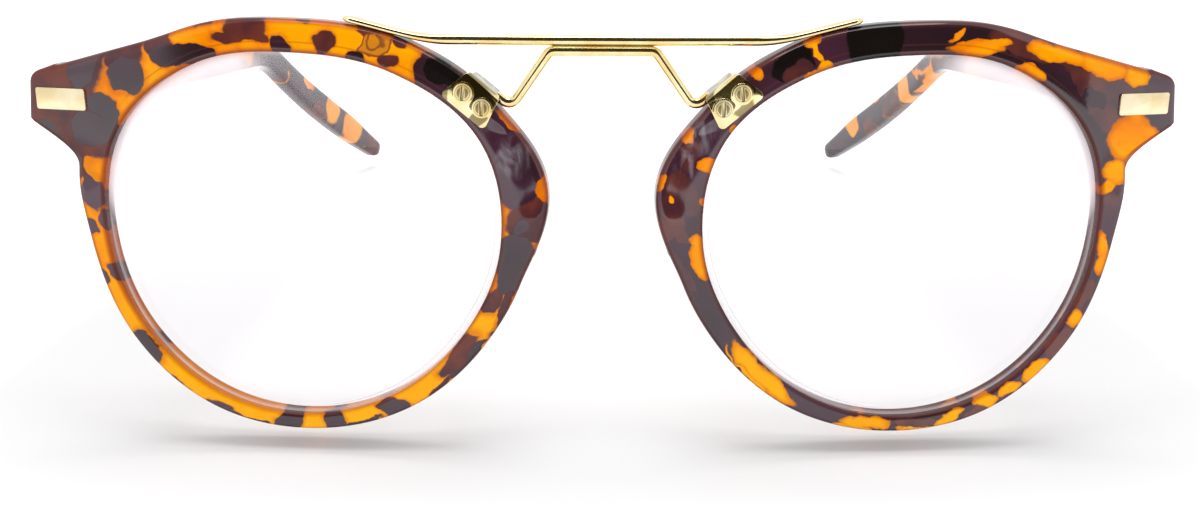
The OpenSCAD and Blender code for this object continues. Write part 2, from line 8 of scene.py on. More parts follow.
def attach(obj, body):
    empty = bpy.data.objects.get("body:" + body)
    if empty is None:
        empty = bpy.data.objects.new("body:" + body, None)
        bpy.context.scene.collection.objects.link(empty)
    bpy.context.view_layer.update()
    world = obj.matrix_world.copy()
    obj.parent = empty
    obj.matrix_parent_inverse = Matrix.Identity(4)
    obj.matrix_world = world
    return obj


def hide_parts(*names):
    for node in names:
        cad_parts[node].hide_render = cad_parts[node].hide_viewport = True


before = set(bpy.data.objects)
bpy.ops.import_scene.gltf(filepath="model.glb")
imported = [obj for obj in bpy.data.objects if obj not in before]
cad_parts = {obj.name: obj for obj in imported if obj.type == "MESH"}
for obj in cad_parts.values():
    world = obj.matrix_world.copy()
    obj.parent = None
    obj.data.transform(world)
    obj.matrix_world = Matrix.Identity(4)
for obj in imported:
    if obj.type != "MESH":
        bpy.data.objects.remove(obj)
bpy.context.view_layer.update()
scene = bpy.context.scene
mm = 0.001
sides = ((-1, "right"), (1, "left"))

# Flat rim axes, in mm: x from the centre plane, y back from the front face, z from the lens's middle.
# Each rim is turned back by the wrap at the hub, and then the whole front leans back.
stance = {"lean": 5.12205, "rise": 25.4225, "back": -67.8191, "wrap": 3.0, "hub": 6.25}


def cosD(a):
    return math.cos(math.radians(a))


def sinD(a):
    return math.sin(math.radians(a))


def clamp(v):
    return max(0.0, min(1.0, v))


def ease(v):
    t = clamp(v)
    return t * t * (3 - 2 * t)


def mix(a, b, t):
    return a + (b - a) * t


def stand(x, y, z):
    c, s = cosD(stance["lean"]), sinD(stance["lean"])
    return Vector((x, y * c + z * s + stance["back"], -y * s + z * c + stance["rise"])) * mm


def sidePlace(x, y, z, side):
    c, s, hub = cosD(stance["wrap"]), sinD(stance["wrap"]), stance["hub"]
    return stand(side * (hub + (x - hub) * c - y * s), (x - hub) * s + y * c, z)


def spanPlace(x, y, z):  # the same for what crosses the middle
    return stand(x, y, z) if abs(x) < stance["hub"] else sidePlace(abs(x), y, z, math.copysign(1, x))


def sideTurn(side, angle):  # a side's own axes: x rises by angle in the rim's plane, y goes back, z up
    a, c, s = sidePlace(0, 0, 0, side), cosD(angle), sinD(angle)
    return [(sidePlace(*axis, side) - a).normalized() for axis in ((c, 0, s), (0, 1, 0), (-s, 0, c))]


# outline of the rims
rim = {
    "lensWide": 49.2, "lensGap": 25.0, "lensThick": 1.5, "curve": 140.0, "curveAt": -0.7, "groove": 0.6,
    "play": 0.03, "thick": 4.2, "noseBump": 2.05, "bumpAt": 12, "bumpHalf": 24, "noseFacet": 0.42,
    "frontWide": 141.8, "endHigh": 5.8, "endTop": 20.1, "endSlope": 14.9, "endTurn": 12, "endFace": 5,
    "endThicker": 1.4, "underOut": 0.4, "underSlope": -61, "cornerSoft": 1.6, "leafStandsOut": 0.07,
    "seatFrom": 62, "seatTo": 78, "seatLift": 0.25,
    "lensShape": [0.996, 1.037, 0.970, 0.937, 1.012, 1.061, 1.004, 0.976, 0.959, 0.935, 0.921, 0.935],
    "widths": [3.7, 4.131, 4.212, 3.969, 4.293, 4.5765, 2.3625, 2.0925, 2.1115, 2.05, 2.5875, 3.024],
}
plate = {"at": 40.2, "tilt": 39.5, "outerLong": 4.8, "thick": 0.8, "seat": 0.1, "landHalf": 3.4,
         "screwsAt": (-0.1, -1.45), "screwPitch": 2.85, "screwLeans": (52, 58), "headsFrom": -0.55}
lensX = rim["lensGap"] / 2 + rim["lensWide"] / 2 * rim["lensShape"][0]
endX = stance["hub"] + (rim["frontWide"] / 2 - stance["hub"]) / cosD(stance["wrap"])


def softMin(a, b, k):
    h = max(k - abs(a - b), 0)
    return min(a, b) - h * h / (4 * k)


def around(samples, angle):  # a smooth curve through samples that lie evenly round the lens
    n = len(samples)
    t = (angle % 360) / 360 * n
    i = math.floor(t)
    f = t - i
    a, b, c, d = [samples[(i + k + n) % n] for k in (-1, 0, 1, 2)]
    return b + f / 2 * (c - a + f * (2 * a - 5 * b + 4 * c - d + f * (3 * (b - c) + d - a)))


def lensR(angle):
    return rim["lensWide"] / 2 * around(rim["lensShape"], angle)


def outerR(angle):
    angle %= 360
    off = (angle - rim["bumpAt"] + 540) % 360 - 180
    bump = rim["noseBump"] * (1 + cosD(180 * off / rim["bumpHalf"])) / 2 if abs(off) < rim["bumpHalf"] else 0
    ring = lensR(angle) + around(rim["widths"], angle) + bump
    if angle < 100 or angle > 200:
        return ring

    def straight(x, z, normal):
        facing = cosD(180 - angle - normal)
        return 1000 if facing < 0.05 else ((x - lensX) * cosD(normal) + z * sinD(normal)) / facing

    top = straight(endX, rim["endTop"], 90 - rim["endSlope"])
    face = straight(endX, rim["endTop"] - rim["endHigh"] / 2, rim["endFace"])
    under = straight(endX + rim["underOut"], rim["endTop"] - rim["endHigh"], rim["underSlope"])
    reach = softMin(softMin(top, face, rim["cornerSoft"]), under, rim["cornerSoft"])
    reach = -softMin(-ring, -reach, 1 if angle < 145 else 9)
    return mix(ring, reach, ease((angle - 100) / 28))


def onRim(angle, r):
    return lensX - r * cosD(angle), r * sinD(angle)


def outerPoint(angle):
    return onRim(angle, outerR(angle))


def endShare(z):  # how much of the end piece's turn and thickness a height takes
    return ease((z - 5) / 8)


def faceY(x, z):
    d = x - (endX - 12)
    back = 0 if d < 0 else d * d / 6 if d < 3 else d - 1.5
    return math.tan(math.radians(rim["endTurn"])) * back * endShare(z)


def backY(x, z):
    return rim["thick"] + (rim["endThicker"] - rim["leafStandsOut"]) * ease((x - endX + 14) / 5) * endShare(z)


def capY(radius, r):  # depth of a lens face of this radius, at r from the lens's middle
    return rim["curveAt"] + rim["curve"] - math.sqrt(radius * radius - r * r)


seatA, seatB = Vector(outerPoint(rim["seatFrom"])), Vector(outerPoint(rim["seatTo"]))
seatDir = (seatB - seatA).normalized()
seatLong = (seatB - seatA).length
seatUp = Vector((-seatDir.y, seatDir.x))
seatTilt = math.degrees(math.atan2(seatDir.y, seatDir.x))
seatA += seatUp * rim["seatLift"]
plateO = Vector(outerPoint(plate["at"]))
plateN = Vector((-sinD(plate["tilt"]), cosD(plate["tilt"])))
plateT = Vector((plateN.y, -plateN.x))


def onPlate(t, n):
    return plateO + plateT * t + plateN * n


def seated(x, z):  # flat lands under the blade and under the plate's flange
    p = Vector((x, z))
    d = p - seatA
    if 0 <= d.dot(seatDir) <= seatLong and 0 < d.dot(seatUp) < 3:
        p -= seatUp * d.dot(seatUp)
    d = p - plateO
    if abs(d.dot(plateT)) <= plate["landHalf"] and d.dot(plateN) > plate["seat"]:
        p -= plateN * (d.dot(plateN) - plate["seat"])
    return p.x, p.y


def rimSection(angle):
    inner, outer = lensR(angle), outerR(angle)
    o = Vector(outerPoint(angle))
    t = (Vector(outerPoint(angle + 0.2)) - Vector(outerPoint(angle - 0.2))).normalized()
    n = Vector((-t.y, t.x))
    wide = outer - inner
    slim = mix(1, 0.5, ease((o.x - endX + 8) / 6))
    bevel = min(1.1, 0.27 * wide) * slim
    facet = rim["noseFacet"] * ease((angle - 6) / 6) * ease((33 - angle) / 5)
    points = []  # (x, z, y, corner)

    def add(p, y, corner):
        x, z = seated(p[0], p[1])
        points.append((x, z, y, corner))

    lip, flat, deep = onRim(angle, inner), onRim(angle, inner + 0.3), onRim(angle, inner + rim["groove"])
    shoulder = o - n * bevel
    add(lip, faceY(*lip) + 0.3, 0.12)
    add(flat, faceY(*flat), 0.12)
    for k in range(1, 6):
        f = k / 6
        p = (mix(flat[0], shoulder.x, f), mix(flat[1], shoulder.y, f))
        add(p, faceY(*p) + facet * ease((f - 0.3) / 0.7), 0)
    add(shoulder, faceY(*shoulder) + facet, 0.2)
    edge = o - n * bevel * 0.3
    add(edge, faceY(*edge) + bevel * 0.28 + facet * 0.8, 0.3)
    add(o, faceY(*o) + bevel * 0.8 + facet * 0.5, 0.35)
    add(o, backY(*o) - 0.6 * slim, 0.3)
    p = o - n * 0.18 * slim
    add(p, backY(*p) - 0.18 * slim, 0.2)
    p2 = o - n * 0.6 * slim
    add(p2, backY(*p2), 0.25)
    for k in range(1, 5):
        f = k / 5
        p = (mix(p2.x, flat[0], f), mix(p2.y, flat[1], f))
        add(p, backY(*p), 0)
    add(flat, backY(*flat), 0.12)
    add(lip, backY(*lip) - 0.3, 0.12)
    r, g = inner, inner + rim["groove"]
    inside = rim["curve"] - rim["lensThick"]
    add(lip, capY(inside, r) + rim["play"], 0.05)
    add(deep, capY(inside, g) + rim["play"], 0)
    add(deep, capY(rim["curve"], g) - rim["play"], 0)
    add(lip, capY(rim["curve"], r) - rim["play"], 0.05)
    return points


def softCorners(points, steps=3):  # rounds the corners of a closed section, with as many points each time
    out = []
    n = len(points)
    for i, (x, z, y, cut) in enumerate(points):
        p = Vector((x, z, y))
        if cut == 0:
            out.append(p)
            continue
        away = [Vector(points[k % n][:3]) - p for k in (i - 1, i + 1)]
        a, b = [p + v * (min(cut, v.length * 0.45) / max(v.length, 1e-6)) for v in away]
        for f in (k / steps for k in range(steps + 1)):
            out.append(a * (1 - f) ** 2 + p * (2 * f * (1 - f)) + b * f ** 2)
    return out


# mesh helpers
def placed(name, mesh):
    obj = bpy.data.objects.new(name, mesh)
    scene.collection.objects.link(obj)
    return obj


def meshObject(name, verts, faces, edges=(), smooth=True):
    mesh = bpy.data.meshes.new(name)
    mesh.from_pydata([tuple(v) for v in verts], list(edges), faces)
    mesh.validate()
    if smooth:
        mesh.shade_smooth()
    return placed(name, mesh)


def fromBmesh(name, b):
    mesh = bpy.data.meshes.new(name)
    b.to_mesh(mesh)
    b.free()
    return placed(name, mesh)


def addValues(obj, key, values):
    obj.data.attributes.new(key, "FLOAT", "POINT").data.foreach_set("value", values)


def skin(rings, closed):  # faces between rings of points
    n, m = len(rings), len(rings[0])
    faces = []
    for i in range(n if closed else n - 1):
        for j in range(m):
            a, b = i * m + j, i * m + (j + 1) % m
            c, d = (i + 1) % n * m + (j + 1) % m, (i + 1) % n * m + j
            faces.append((a, b, c, d))
    return faces


def circle(count):  # a cosine and a sine for each point of a ring
    return [(cosD(360 * k / count), sinD(360 * k / count)) for k in range(count)]


def squared(v, power):  # makes a round section squarer
    return math.copysign(abs(v) ** power, v)


def facesOut(obj):  # turns the faces of a closed shell outwards
    mesh = obj.data
    total = 0.0
    for poly in mesh.polygons:
        vs = [mesh.vertices[i].co for i in poly.vertices]
        for k in range(1, len(vs) - 1):
            total += vs[0].dot(vs[k].cross(vs[k + 1]))
    if total < 0:
        mesh.flip_normals()
    return obj


def tube(name, rings):  # a skin along rings of points, with one face on each end
    m, total = len(rings[0]), len(rings) * len(rings[0])
    ends = [tuple(reversed(range(m))), tuple(range(total - m, total))]
    return facesOut(meshObject(name, [v for ring in rings for v in ring], skin(rings, False) + ends))


def sharpBy(obj, angle):
    mesh = obj.data
    mesh.shade_smooth()
    mesh.set_sharp_from_angle(angle=math.radians(angle))


def evaluated(obj):  # a plain mesh made from an object and its modifiers
    bpy.context.view_layer.update()
    graph = bpy.context.evaluated_depsgraph_get()
    mesh = bpy.data.meshes.new_from_object(obj.evaluated_get(graph))
    mesh.name = obj.name
    obj.modifiers.clear()
    obj.data = mesh
    return obj


def settle(obj, material, body, *nodes, slotName):
    obj.data.materials.clear()
    obj.data.materials.append(material)
    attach(obj, body)
    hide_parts(*nodes)


# shader maths
class Sock:  # wraps a node's output, so that sums on it make nodes
    def __init__(self, tree, socket):
        self.tree, self.socket = tree, socket

    def node(self, kind, values=None, out=0, **settings):
        return Sock(self.tree, newNode(self.tree, "ShaderNode" + kind, values or {}, settings).outputs[out])

    def math(self, operation, *others):
        return self.node("Math", dict(enumerate((self,) + others)), operation=operation)

    def __add__(self, other):
        return self.math("ADD", other)

    __radd__ = __add__

    def __mul__(self, other):
        return self.math("MULTIPLY", other)

    __rmul__ = __mul__

    def __sub__(self, other):
        return self.math("SUBTRACT", other)

    def __rsub__(self, other):
        return self.node("Math", {0: other, 1: self}, operation="SUBTRACT")

    def most(self, other):
        return self.math("MAXIMUM", other)

    def ramp(self, low, high):  # a smooth step from 0 at low to 1 at high
        return self.node("MapRange", {"Value": self, "From Min": low, "From Max": high},
                         interpolation_type="SMOOTHSTEP")

    def band(self, middle, wide, narrow):  # 1 round the middle value, 0 further off
        return (self - middle).math("ABSOLUTE").ramp(wide, narrow)

    def vector(self, operation, other=None, out=0):
        return self.node("VectorMath", {0: self, 1: other}, out, operation=operation)

    def spread(self, *reach):  # a noise's colour as a shift to both sides
        return self.vector("SUBTRACT", (0.5, 0.5, 0.5)).vector("MULTIPLY", reach)

    def part(self, axis):
        return self.node("SeparateXYZ", {0: self}, axis)

    def noise(self, scale, detail, distortion=0.0, out=0):
        values = {"Vector": self, "Scale": scale, "Detail": detail, "Distortion": distortion}
        return self.node("TexNoise", values, out)

    def mapping(self, kind="POINT", **values):
        return self.node("Mapping", {"Vector": self, **values}, vector_type=kind)

    def attribute(self, key, out=2):
        return self.node("Attribute", out=out, attribute_name=key)

    def bump(self, strength, distance):
        return self.node("Bump", {"Height": self, "Strength": strength, "Distance": distance})

    def blend(self, a, b):  # self is the share of b
        return self.node("Mix", {0: self, 6: a, 7: b}, 2, data_type="RGBA")


def newMaterial(name):
    material = bpy.data.materials.new(name)
    material.use_nodes = True
    tree = material.node_tree
    surface = tree.nodes["Principled BSDF"]
    start = Sock(tree, tree.nodes.new("ShaderNodeTexCoord").outputs["Object"])
    return material, surface, start


def plug(node, values):
    for key, value in values.items():
        if isinstance(value, Sock):
            value = value.socket
        if isinstance(value, bpy.types.NodeSocket):
            node.id_data.links.new(value, node.inputs[key])
        elif value is not None:
            node.inputs[key].default_value = value


def newNode(tree, kind, values, settings):
    made = tree.nodes.new(kind)
    for key, value in settings.items():
        setattr(made, key, value)
    plug(made, values)
    return made


def rgb(r, g, b):  # a colour as the eye names it, 0 to 255, made linear
    def one(v):
        v /= 255
        return v / 12.92 if v <= 0.04045 else ((v + 0.055) / 1.055) ** 2.4
    return (one(r), one(g), one(b), 1.0)


# tortoiseshell, with a painted light colour for the lower halves, a painted shade colour for the edges and a
# painted sheen colour for the facets beside the nose
shell = {
    "amber": rgb(255, 165, 0), "orange": rgb(255, 144, 0), "paintedLight": rgb(255, 180, 0), "edge": rgb(160, 66, 4),
    "streak": rgb(200, 92, 8), "brown": rgb(108, 50, 38), "brownDeep": rgb(74, 36, 42), "leak": rgb(112, 58, 44),
    "dark": rgb(66, 32, 50), "black": rgb(40, 21, 30), "night": rgb(16, 10, 12), "paintedSheen": rgb(176, 168, 176),
    "coatLeast": 0.12, "coatMore": 0.88, "roughness": 0.1, "smear": 0.07, "grain": 0.03, "waves": 0.05,
    "degree": 0.47, "merge": 0.14, "lumps": 2.0, "swells": 1.7, "edgeShadeWide": 0.85, "edgeShadeShare": 0.92,
    "lowNarrower": 0.3, "grooveAt": 1.3,
}
# Blotches on each rim: angle round the lens, mm out from the lens, half angle, half mm, and a turn in degrees.
rightBlotches = {
    "base": "amber", "tab": (68.2, 2.8, 3.8, 1.75), "night": [(49.5, 3, 4.6, 1.25)],
    "pale": [(22.5, 2.6, 5.5, 2, 10)],
    "brown": [
        (5.5, 3.6, 6.2, 2.6), (47.5, 3.2, 2.6, 1.4), (62.3, 3.8, 2, 0.75), (62.8, 1, 2.2, 0.8),
        (70.8, 3.9, 2.9, 0.5), (81.3, 1.55, 2.5, 1.3), (88, 3.9, 2, 0.6), (101.8, 3.2, 4.6, 1.6, -10),
        (103.5, 1.8, 6.8, 0.85, 4), (123.5, 4, 3.2, 2.2), (130.5, 6.6, 5, 3.4, 10), (140, 9.5, 7.5, 4.6, 20),
        (153, 6, 6.6, 8), (159, 8, 5.5, 6), (147, 9, 6, 5), (163, 6.5, 3, 4), (164, 2.3, 3.2, 0.7, -30),
        (294, 0.7, 3.6, 0.8), (322.5, 1.4, 8.2, 1.4), (342.6, 0.9, 5, 1.1), (341, 2.7, 9, 0.7),
        (312, 2.7, 9, 0.45), (112, 3.9, 2.2, 0.5),
    ],
    "dark": [
        (355.5, 1.9, 10, 2.4), (-4.5, 1.9, 7, 2.4), (4, 2.7, 1.8, 0.8, 40), (19.5, 2.6, 9.6, 3.5, 12),
        (31, 1.7, 7, 2.5), (40, 1.9, 8, 3.6), (50.5, 2.3, 5.8, 2.1), (52, 3.6, 3.2, 1.1),
        (71.8, 0.15, 3.2, 0.95), (93.6, 0.85, 3.1, 1.35, 8), (119.5, 1.35, 6.4, 1.45, 14),
        (124, 2.6, 3, 1.4, 30), (115, 0.4, 3.4, 0.7), (134.8, 3.1, 4.3, 2.4, 10), (145, 3.1, 3.5, 1.75),
        (140, 8.3, 4.2, 2.8, 40), (153, 3.4, 4.2, 2.6), (158.5, 7.6, 1.7, 2.4, 20), (151, 8.2, 1.5, 1.6),
        (167.4, 1.35, 5.2, 1.45, -8), (175, 0.1, 3.2, 0.65), (177, 1.8, 2.1, 0.75), (190.5, 0.2, 3.1, 0.9),
        (191, 2.1, 2, 0.5), (214.6, 1.15, 5.4, 1.5), (225, 2.1, 6.5, 0.6), (241.4, 1.95, 4, 0.75),
        (251, 2.1, 6, 0.5), (262.4, 1.1, 4.2, 1.6, -20), (277, 1.2, 3.6, 1.5, 20), (296, 1.6, 4.4, 1.1, 12),
        (323, 2.75, 8, 0.55), (283, 2.1, 8, 0.4), (149, 1.3, 5, 1.2),
    ],
    "amberOver": [
        (12.8, 5.7, 3, 1.35, -10), (30.5, 4.7, 3.4, 0.8), (140.2, 1.7, 1.7, 1.4, 20), (128.6, 1.9, 1.5, 1.2),
        (161.6, 1.7, 2.1, 1.5, 20), (334.2, 1.3, 4.4, 1.2, 12),
    ],
}
leftBlotches = {
    "base": "dark", "night": [(79.5, 2, 7.5, 4), (57, 2.2, 6.5, 1.9)],
    "pale": [(28, 2.6, 4.5, 1.6), (20, 3.2, 4, 1.6)],
    "brown": [
        (3, 3, 4.5, 0.8, 15), (13, 2.7, 6, 2, 30), (6, 4.4, 6, 1.4), (23, 2.9, 4, 1), (118, 2.9, 9, 1.5),
        (135, 3.4, 8, 1.2, -6), (146, 3.2, 5.4, 1.6), (140, 6.2, 9.5, 2.2, 24), (57, 1.4, 5, 1.2),
        (169.6, 1.3, 2.5, 1.1), (212, 1.2, 5, 1), (262, 0.9, 6.5, 0.6), (352, 3, 6, 0.7, 20), (196, 1, 5, 0.9),
        (243, 1.8, 4, 0.5),
    ],
    "dark": [(325.5, 0.3, 3, 0.5), (141, 3, 3.2, 1)],
    "amberOver": [
        (0.2, 0.9, 2.4, 1.1), (356.4, 0.75, 6, 1.15, 10), (11, 4.1, 1, 0.45), (14.5, 5.6, 2.4, 0.45, -16),
        (27, 4.2, 1.9, 0.85), (22.2, 0.5, 2.4, 1.1), (13, 0.1, 1.4, 0.5), (33, 0, 1.6, 0.5),
        (48.2, 3.7, 1.7, 1), (64.2, 3.9, 2.2, 1.1), (64.6, 2, 0.75, 2), (64.3, 0.3, 2.4, 0.7),
        (60, 0.2, 2.2, 0.55), (107.4, 1, 7, 1.05, 6), (101.2, 2.4, 0.9, 1.2, -30), (111, 1.9, 4.6, 0.6, 10),
        (126.5, 4, 7.6, 1.25, 20), (124.4, 0.45, 4.8, 0.75), (136.6, 6.5, 6.4, 1.5, 38),
        (143.6, 8.8, 3, 1.3, 40), (155.6, 4.7, 5.6, 3.1), (157, 6.6, 2.6, 2.2), (162.6, 2.1, 3, 2.4, -36),
        (152.6, 6.2, 2, 0.8), (165.4, 0.9, 1.4, 1.1), (180, 0.95, 4.6, 0.65, 8), (186, 1.4, 4, 0.75),
        (203.5, 1.2, 3, 0.8), (222.4, 1.15, 5.2, 0.9, -6), (231.6, 1.15, 3.5, 0.85), (239.4, 1, 4.2, 0.75, -12),
        (251.4, 0.9, 5, 0.7, 12), (262, 1.6, 6.4, 0.34), (277.5, 1.1, 7.6, 0.8, 6), (280, 2, 7, 0.25),
        (314.4, 1.3, 14.4, 1.15), (317, 2.5, 12, 0.22),
    ],
}


def inBlotch(place, blotch, degree):  # a place seen from a blotch's middle, in halves of its length and width
    angle, out, halfAngle, halfOut, *turn = blotch
    return place.mapping("TEXTURE", Location=(angle * degree, out, 0), Rotation=(0, 0, math.radians(sum(turn))),
                         Scale=(halfAngle * degree, halfOut, 1))


def nearest(place, blotches, degree):  # 1 on the edge of the nearest blotch, less inside it
    best = None
    for blotch in blotches:
        far = inBlotch(place, blotch, degree).vector("LENGTH", out=1)
        best = far if best is None else best.math("SMOOTH_MIN", far, shell["merge"])
    return best


def gloss(surface, start):
    smear = start.noise(160.0, 3.0).ramp(0.42, 0.7)
    rough = shell["roughness"] + shell["smear"] * smear + shell["grain"] * start.noise(900.0, 2.0)
    plug(surface, {"Roughness": rough, "Normal": start.noise(130.0, 1.5).bump(shell["waves"], 0.0008)})


def lacquer(surface, covered):  # dark patches mirror the white room more than the amber does
    plug(surface, {"Specular IOR Level": 0.1, "Coat IOR": 1.65, "Coat Roughness": 0.08,
                   "Coat Weight": covered * shell["coatMore"] + shell["coatLeast"]})


def shellColour(start, amberShare, brownShare, darkShare, edgeShadeShare=None, halo=None, low=None):
    streak = start.noise(95.0, 4.0, 1.2)
    amber = streak.ramp(0.38, 0.66).blend(shell["amber"], shell["orange"])
    amber = (streak.ramp(0.56, 0.74) * 0.6).blend(amber, shell["streak"])
    brown = start.noise(210.0, 3.0).ramp(0.35, 0.65).blend(shell["brown"], shell["brownDeep"])
    dark = start.noise(60.0, 2.0).ramp(0.35, 0.65).blend(shell["dark"], shell["black"])
    if edgeShadeShare is not None:
        amber = (low * 0.7).blend(amber, shell["paintedLight"])  # painted light: the lower halves are painted brighter, as they get less light from above
        # painted shade: the amber is painted darker towards the edges, and the dark patches are painted lighter
        # brown there
        amber = edgeShadeShare.blend(halo.blend(amber, shell["streak"]), shell["edge"])
        dark = (edgeShadeShare * 0.5).blend(dark, shell["leak"])
    colour = brown if brownShare is None else brownShare.blend(amber, brown)
    colour = darkShare.blend(colour, dark)
    return colour if amberShare is None else amberShare.blend(colour, amber)


def paintTabShade(place, blotch, dark, colour):  # painted shade: the strap and screw behind the rim show through the amber as a darker brown box with an outline and a ring for the screw
    local = inBlotch(place, blotch, shell["degree"])
    flat, head = local.vector("ABSOLUTE"), local.vector("LENGTH", out=1)
    box = flat.part(0).most(flat.part(1))
    line = box.band(0.94, 0.12, 0.02).most(head.band(0.55, 0.16, 0.04))
    share = box.ramp(1.04, 0.98) * 0.45 + line * box.ramp(1.1, 1.0) * 0.4
    return (share * (1 - dark)).blend(colour, shell["brown"])


def rimMaterial(name, spots):
    material, surface, start = newMaterial(name)
    degree = shell["degree"]
    ring = start.node("UVMap", uv_map="ring")
    place = ring.vector("MULTIPLY", (360 * degree, 10, 0))
    lumps = start.noise(400.0, 3.0, out=1).spread(shell["lumps"], shell["lumps"], 0)
    swells = start.noise(170.0, 1.0, out=1).spread(shell["swells"], shell["swells"], 0)
    place = place.vector("ADD", lumps.vector("ADD", swells))
    fromBrown, fromDark, fromAmber, fromNight, fromSheen = [
        nearest(place, spots[key], degree) for key in ("brown", "dark", "amberOver", "night", "pale")]
    brown, dark, amber = fromBrown.ramp(1.1, 0.93), fromDark.ramp(1.07, 0.96), fromAmber.ramp(1.08, 0.94)
    darkBase = spots["base"] == "dark"
    if darkBase:
        dark = (1 - brown * 0.8).most(dark)
        halo = fromAmber.ramp(0.6, 1.0) * 0.6
    else:
        halo = fromDark.math("MINIMUM", fromBrown).ramp(1.4, 1.0) * 0.55
    fromEdge = start.attribute("fromEdge")
    angle, high = ring.part(0) * 360, ring.part(1) * 10
    # a thin darker line is painted where the lens groove lies, across the upper rim
    groove = high.band(shell["grooveAt"], 0.2, 0.02) * angle.ramp(30, 50) * angle.ramp(150, 130) * 0.4
    # the lower halves, which get painted light and a narrower painted edge shade
    low = angle.ramp(185, 215) * angle.ramp(350, 325)
    # painted shade: the amber darkens towards the rim's edges, less far in the lower halves
    edge = (fromEdge + low * shell["lowNarrower"]).ramp(shell["edgeShadeWide"], 0.06) * shell["edgeShadeShare"]
    colour = shellColour(start, amber, None if darkBase else brown, dark, edge.most(groove), halo, low)
    covered = (1 - amber) * (1 if darkBase else dark.most(brown * 0.45))
    # the blackest stretches, under the ends of the brow bar
    colour = (fromNight.ramp(1.05, 0.95) * dark * (1 - amber)).blend(colour, shell["night"])
    if "tab" in spots:
        colour = paintTabShade(place, spots["tab"], dark, colour)
    # painted sheen: a mottled pale reflection painted on the facets beside the nose
    slanted = start.mapping(Rotation=(0, 0.6, 0), Scale=(1, 1, 0.45))
    mottle = slanted.noise(520.0, 4.0, 1.0).ramp(0.4, 0.72)
    colour = (fromSheen.ramp(1.2, 0.5) * mottle * 0.45).blend(colour, shell["paintedSheen"])
    plug(surface, {"Base Color": colour})
    lacquer(surface, covered * fromEdge.ramp(0.1, 0.6))
    gloss(surface, start)
    return material


tipBlotches = {  # the same along each temple: mm from the hinge, mm up from its middle line
    "right": {
        "cover": [(112, 0, 25, 9)], "brown": [(131.5, 0, 5.2, 9), (104, -1.5, 3, 1.6)],
        "amber": [(119.4, 0.2, 4.2, 3.1, 10), (109.6, 0.8, 3.2, 2.6, 10), (97, 1.4, 2.6, 1.2)],
    },
    "left": {
        "cover": [(114, 0, 24, 9)], "brown": [(101, -1, 4.5, 2.4), (112, -1.6, 2.6, 1.4)],
        "amber": [(119.2, 1, 2.8, 2.3, 20), (94, 0, 2.6, 3, 10), (107.5, 2.2, 1.4, 0.7)],
    },
}


def wildShell(name, size, seed, tip=None):  # tortoiseshell whose blotches fall where they will
    material, surface, start = newMaterial(name)
    moved = start.mapping(Location=(seed * 0.013, seed * 0.007, 0), Scale=(1.35, 0.62, 1.2))
    lumps = start.noise(240.0, 2.5, out=1)
    moved = moved.vector("ADD", lumps.spread(0.0035, 0.0035, 0.0035))
    cells = moved.node("TexVoronoi", {"Vector": moved, "Scale": size})
    away = moved.vector("ADD", (0.31, 0.17, 0.23))
    other = away.node("TexVoronoi", {"Vector": away, "Scale": size * 1.5})
    amber, dark, brown = None, cells.ramp(0.54, 0.49), other.ramp(0.52, 0.46)
    if tip:
        run = start.node("UVMap", uv_map="run").vector("MULTIPLY", (150, 10, 0))
        run = run.vector("ADD", (0, -5, 0)).vector("ADD", lumps.spread(2.2, 2.2, 0))
        dark = dark.most(nearest(run, tip["cover"], 1).ramp(1.03, 0.97))
        bare = nearest(run, tip["brown"], 1).ramp(1.1, 0.88)
        dark, brown = dark * (1 - bare), brown.most(bare)
        amber = nearest(run, tip["amber"], 1).ramp(1.12, 0.9)
    plug(surface, {"Base Color": shellColour(start, amber, brown, dark)})
    lacquer(surface, dark.most(brown * 0.7) * (0.35 if tip else 1.0))
    gloss(surface, start)
    return material


# metal and lens
metal = {"gold": rgb(255, 243, 194), "goldDeep": rgb(247, 220, 150), "champagne": rgb(252, 238, 202),
         "champagneDeep": rgb(236, 214, 166), "reflectedDark": rgb(96, 74, 20)}


def goldMaterial(name, tone, rough, metallic=1.0, waviness=0.06, waves=420.0, reflectionBands=0.0):
    material, surface, start = newMaterial(name)
    cloud = start.noise(300.0, 3.0)
    colour = cloud.ramp(0.35, 0.7).blend(metal[tone], metal[tone + "Deep"])
    if reflectionBands:  # painted reflections: curved dark bands
        colour = (start.noise(230.0, 0.0, 1.6).ramp(0.5, 0.56) * reflectionBands).blend(colour, metal["reflectedDark"])
    rough += 0.06 * cloud.ramp(0.4, 0.75) + 0.04 * start.noise(1400.0, 3.0)
    plug(surface, {"Base Color": colour, "Metallic": metallic, "Roughness": rough,
                   "Normal": start.noise(waves, 1.0).bump(waviness, 0.0003)})
    return material


gold = goldMaterial("polishedGold", "gold", 0.09)
champagne = goldMaterial("champagneGold", "champagne", 0.22)
plateGold = goldMaterial("plateGold", "gold", 0.07, waviness=0.56, waves=230.0, reflectionBands=0.75)
screwGold = goldMaterial("screwGold", "gold", 0.3, metallic=0.6)


def shadeHeads():  # painted reflections: two dark half moons beside the slot and dark lines along its edges, inside a thin dark ring
    tree = screwGold.node_tree
    surface = tree.nodes["Principled BSDF"]
    was = Sock(tree, surface.inputs["Base Color"].links[0].from_socket)
    place = was.attribute("headPlace", 1)
    out = place.vector("MULTIPLY", (1, 1, 0)).vector("LENGTH", out=1)
    across = place.part(1).math("ABSOLUTE")
    moons = out.ramp(0.6, 0.5) * across.ramp(0.2, 0.28) * 0.8
    line = across.band(0.13, 0.05, 0.01) * out.ramp(0.66, 0.58)
    ring = out.band(0.7, 0.06, 0.0) * 0.8
    plug(surface, {"Base Color": (moons.most(line).most(ring) * 0.92).blend(was, metal["reflectedDark"])})


shadeHeads()


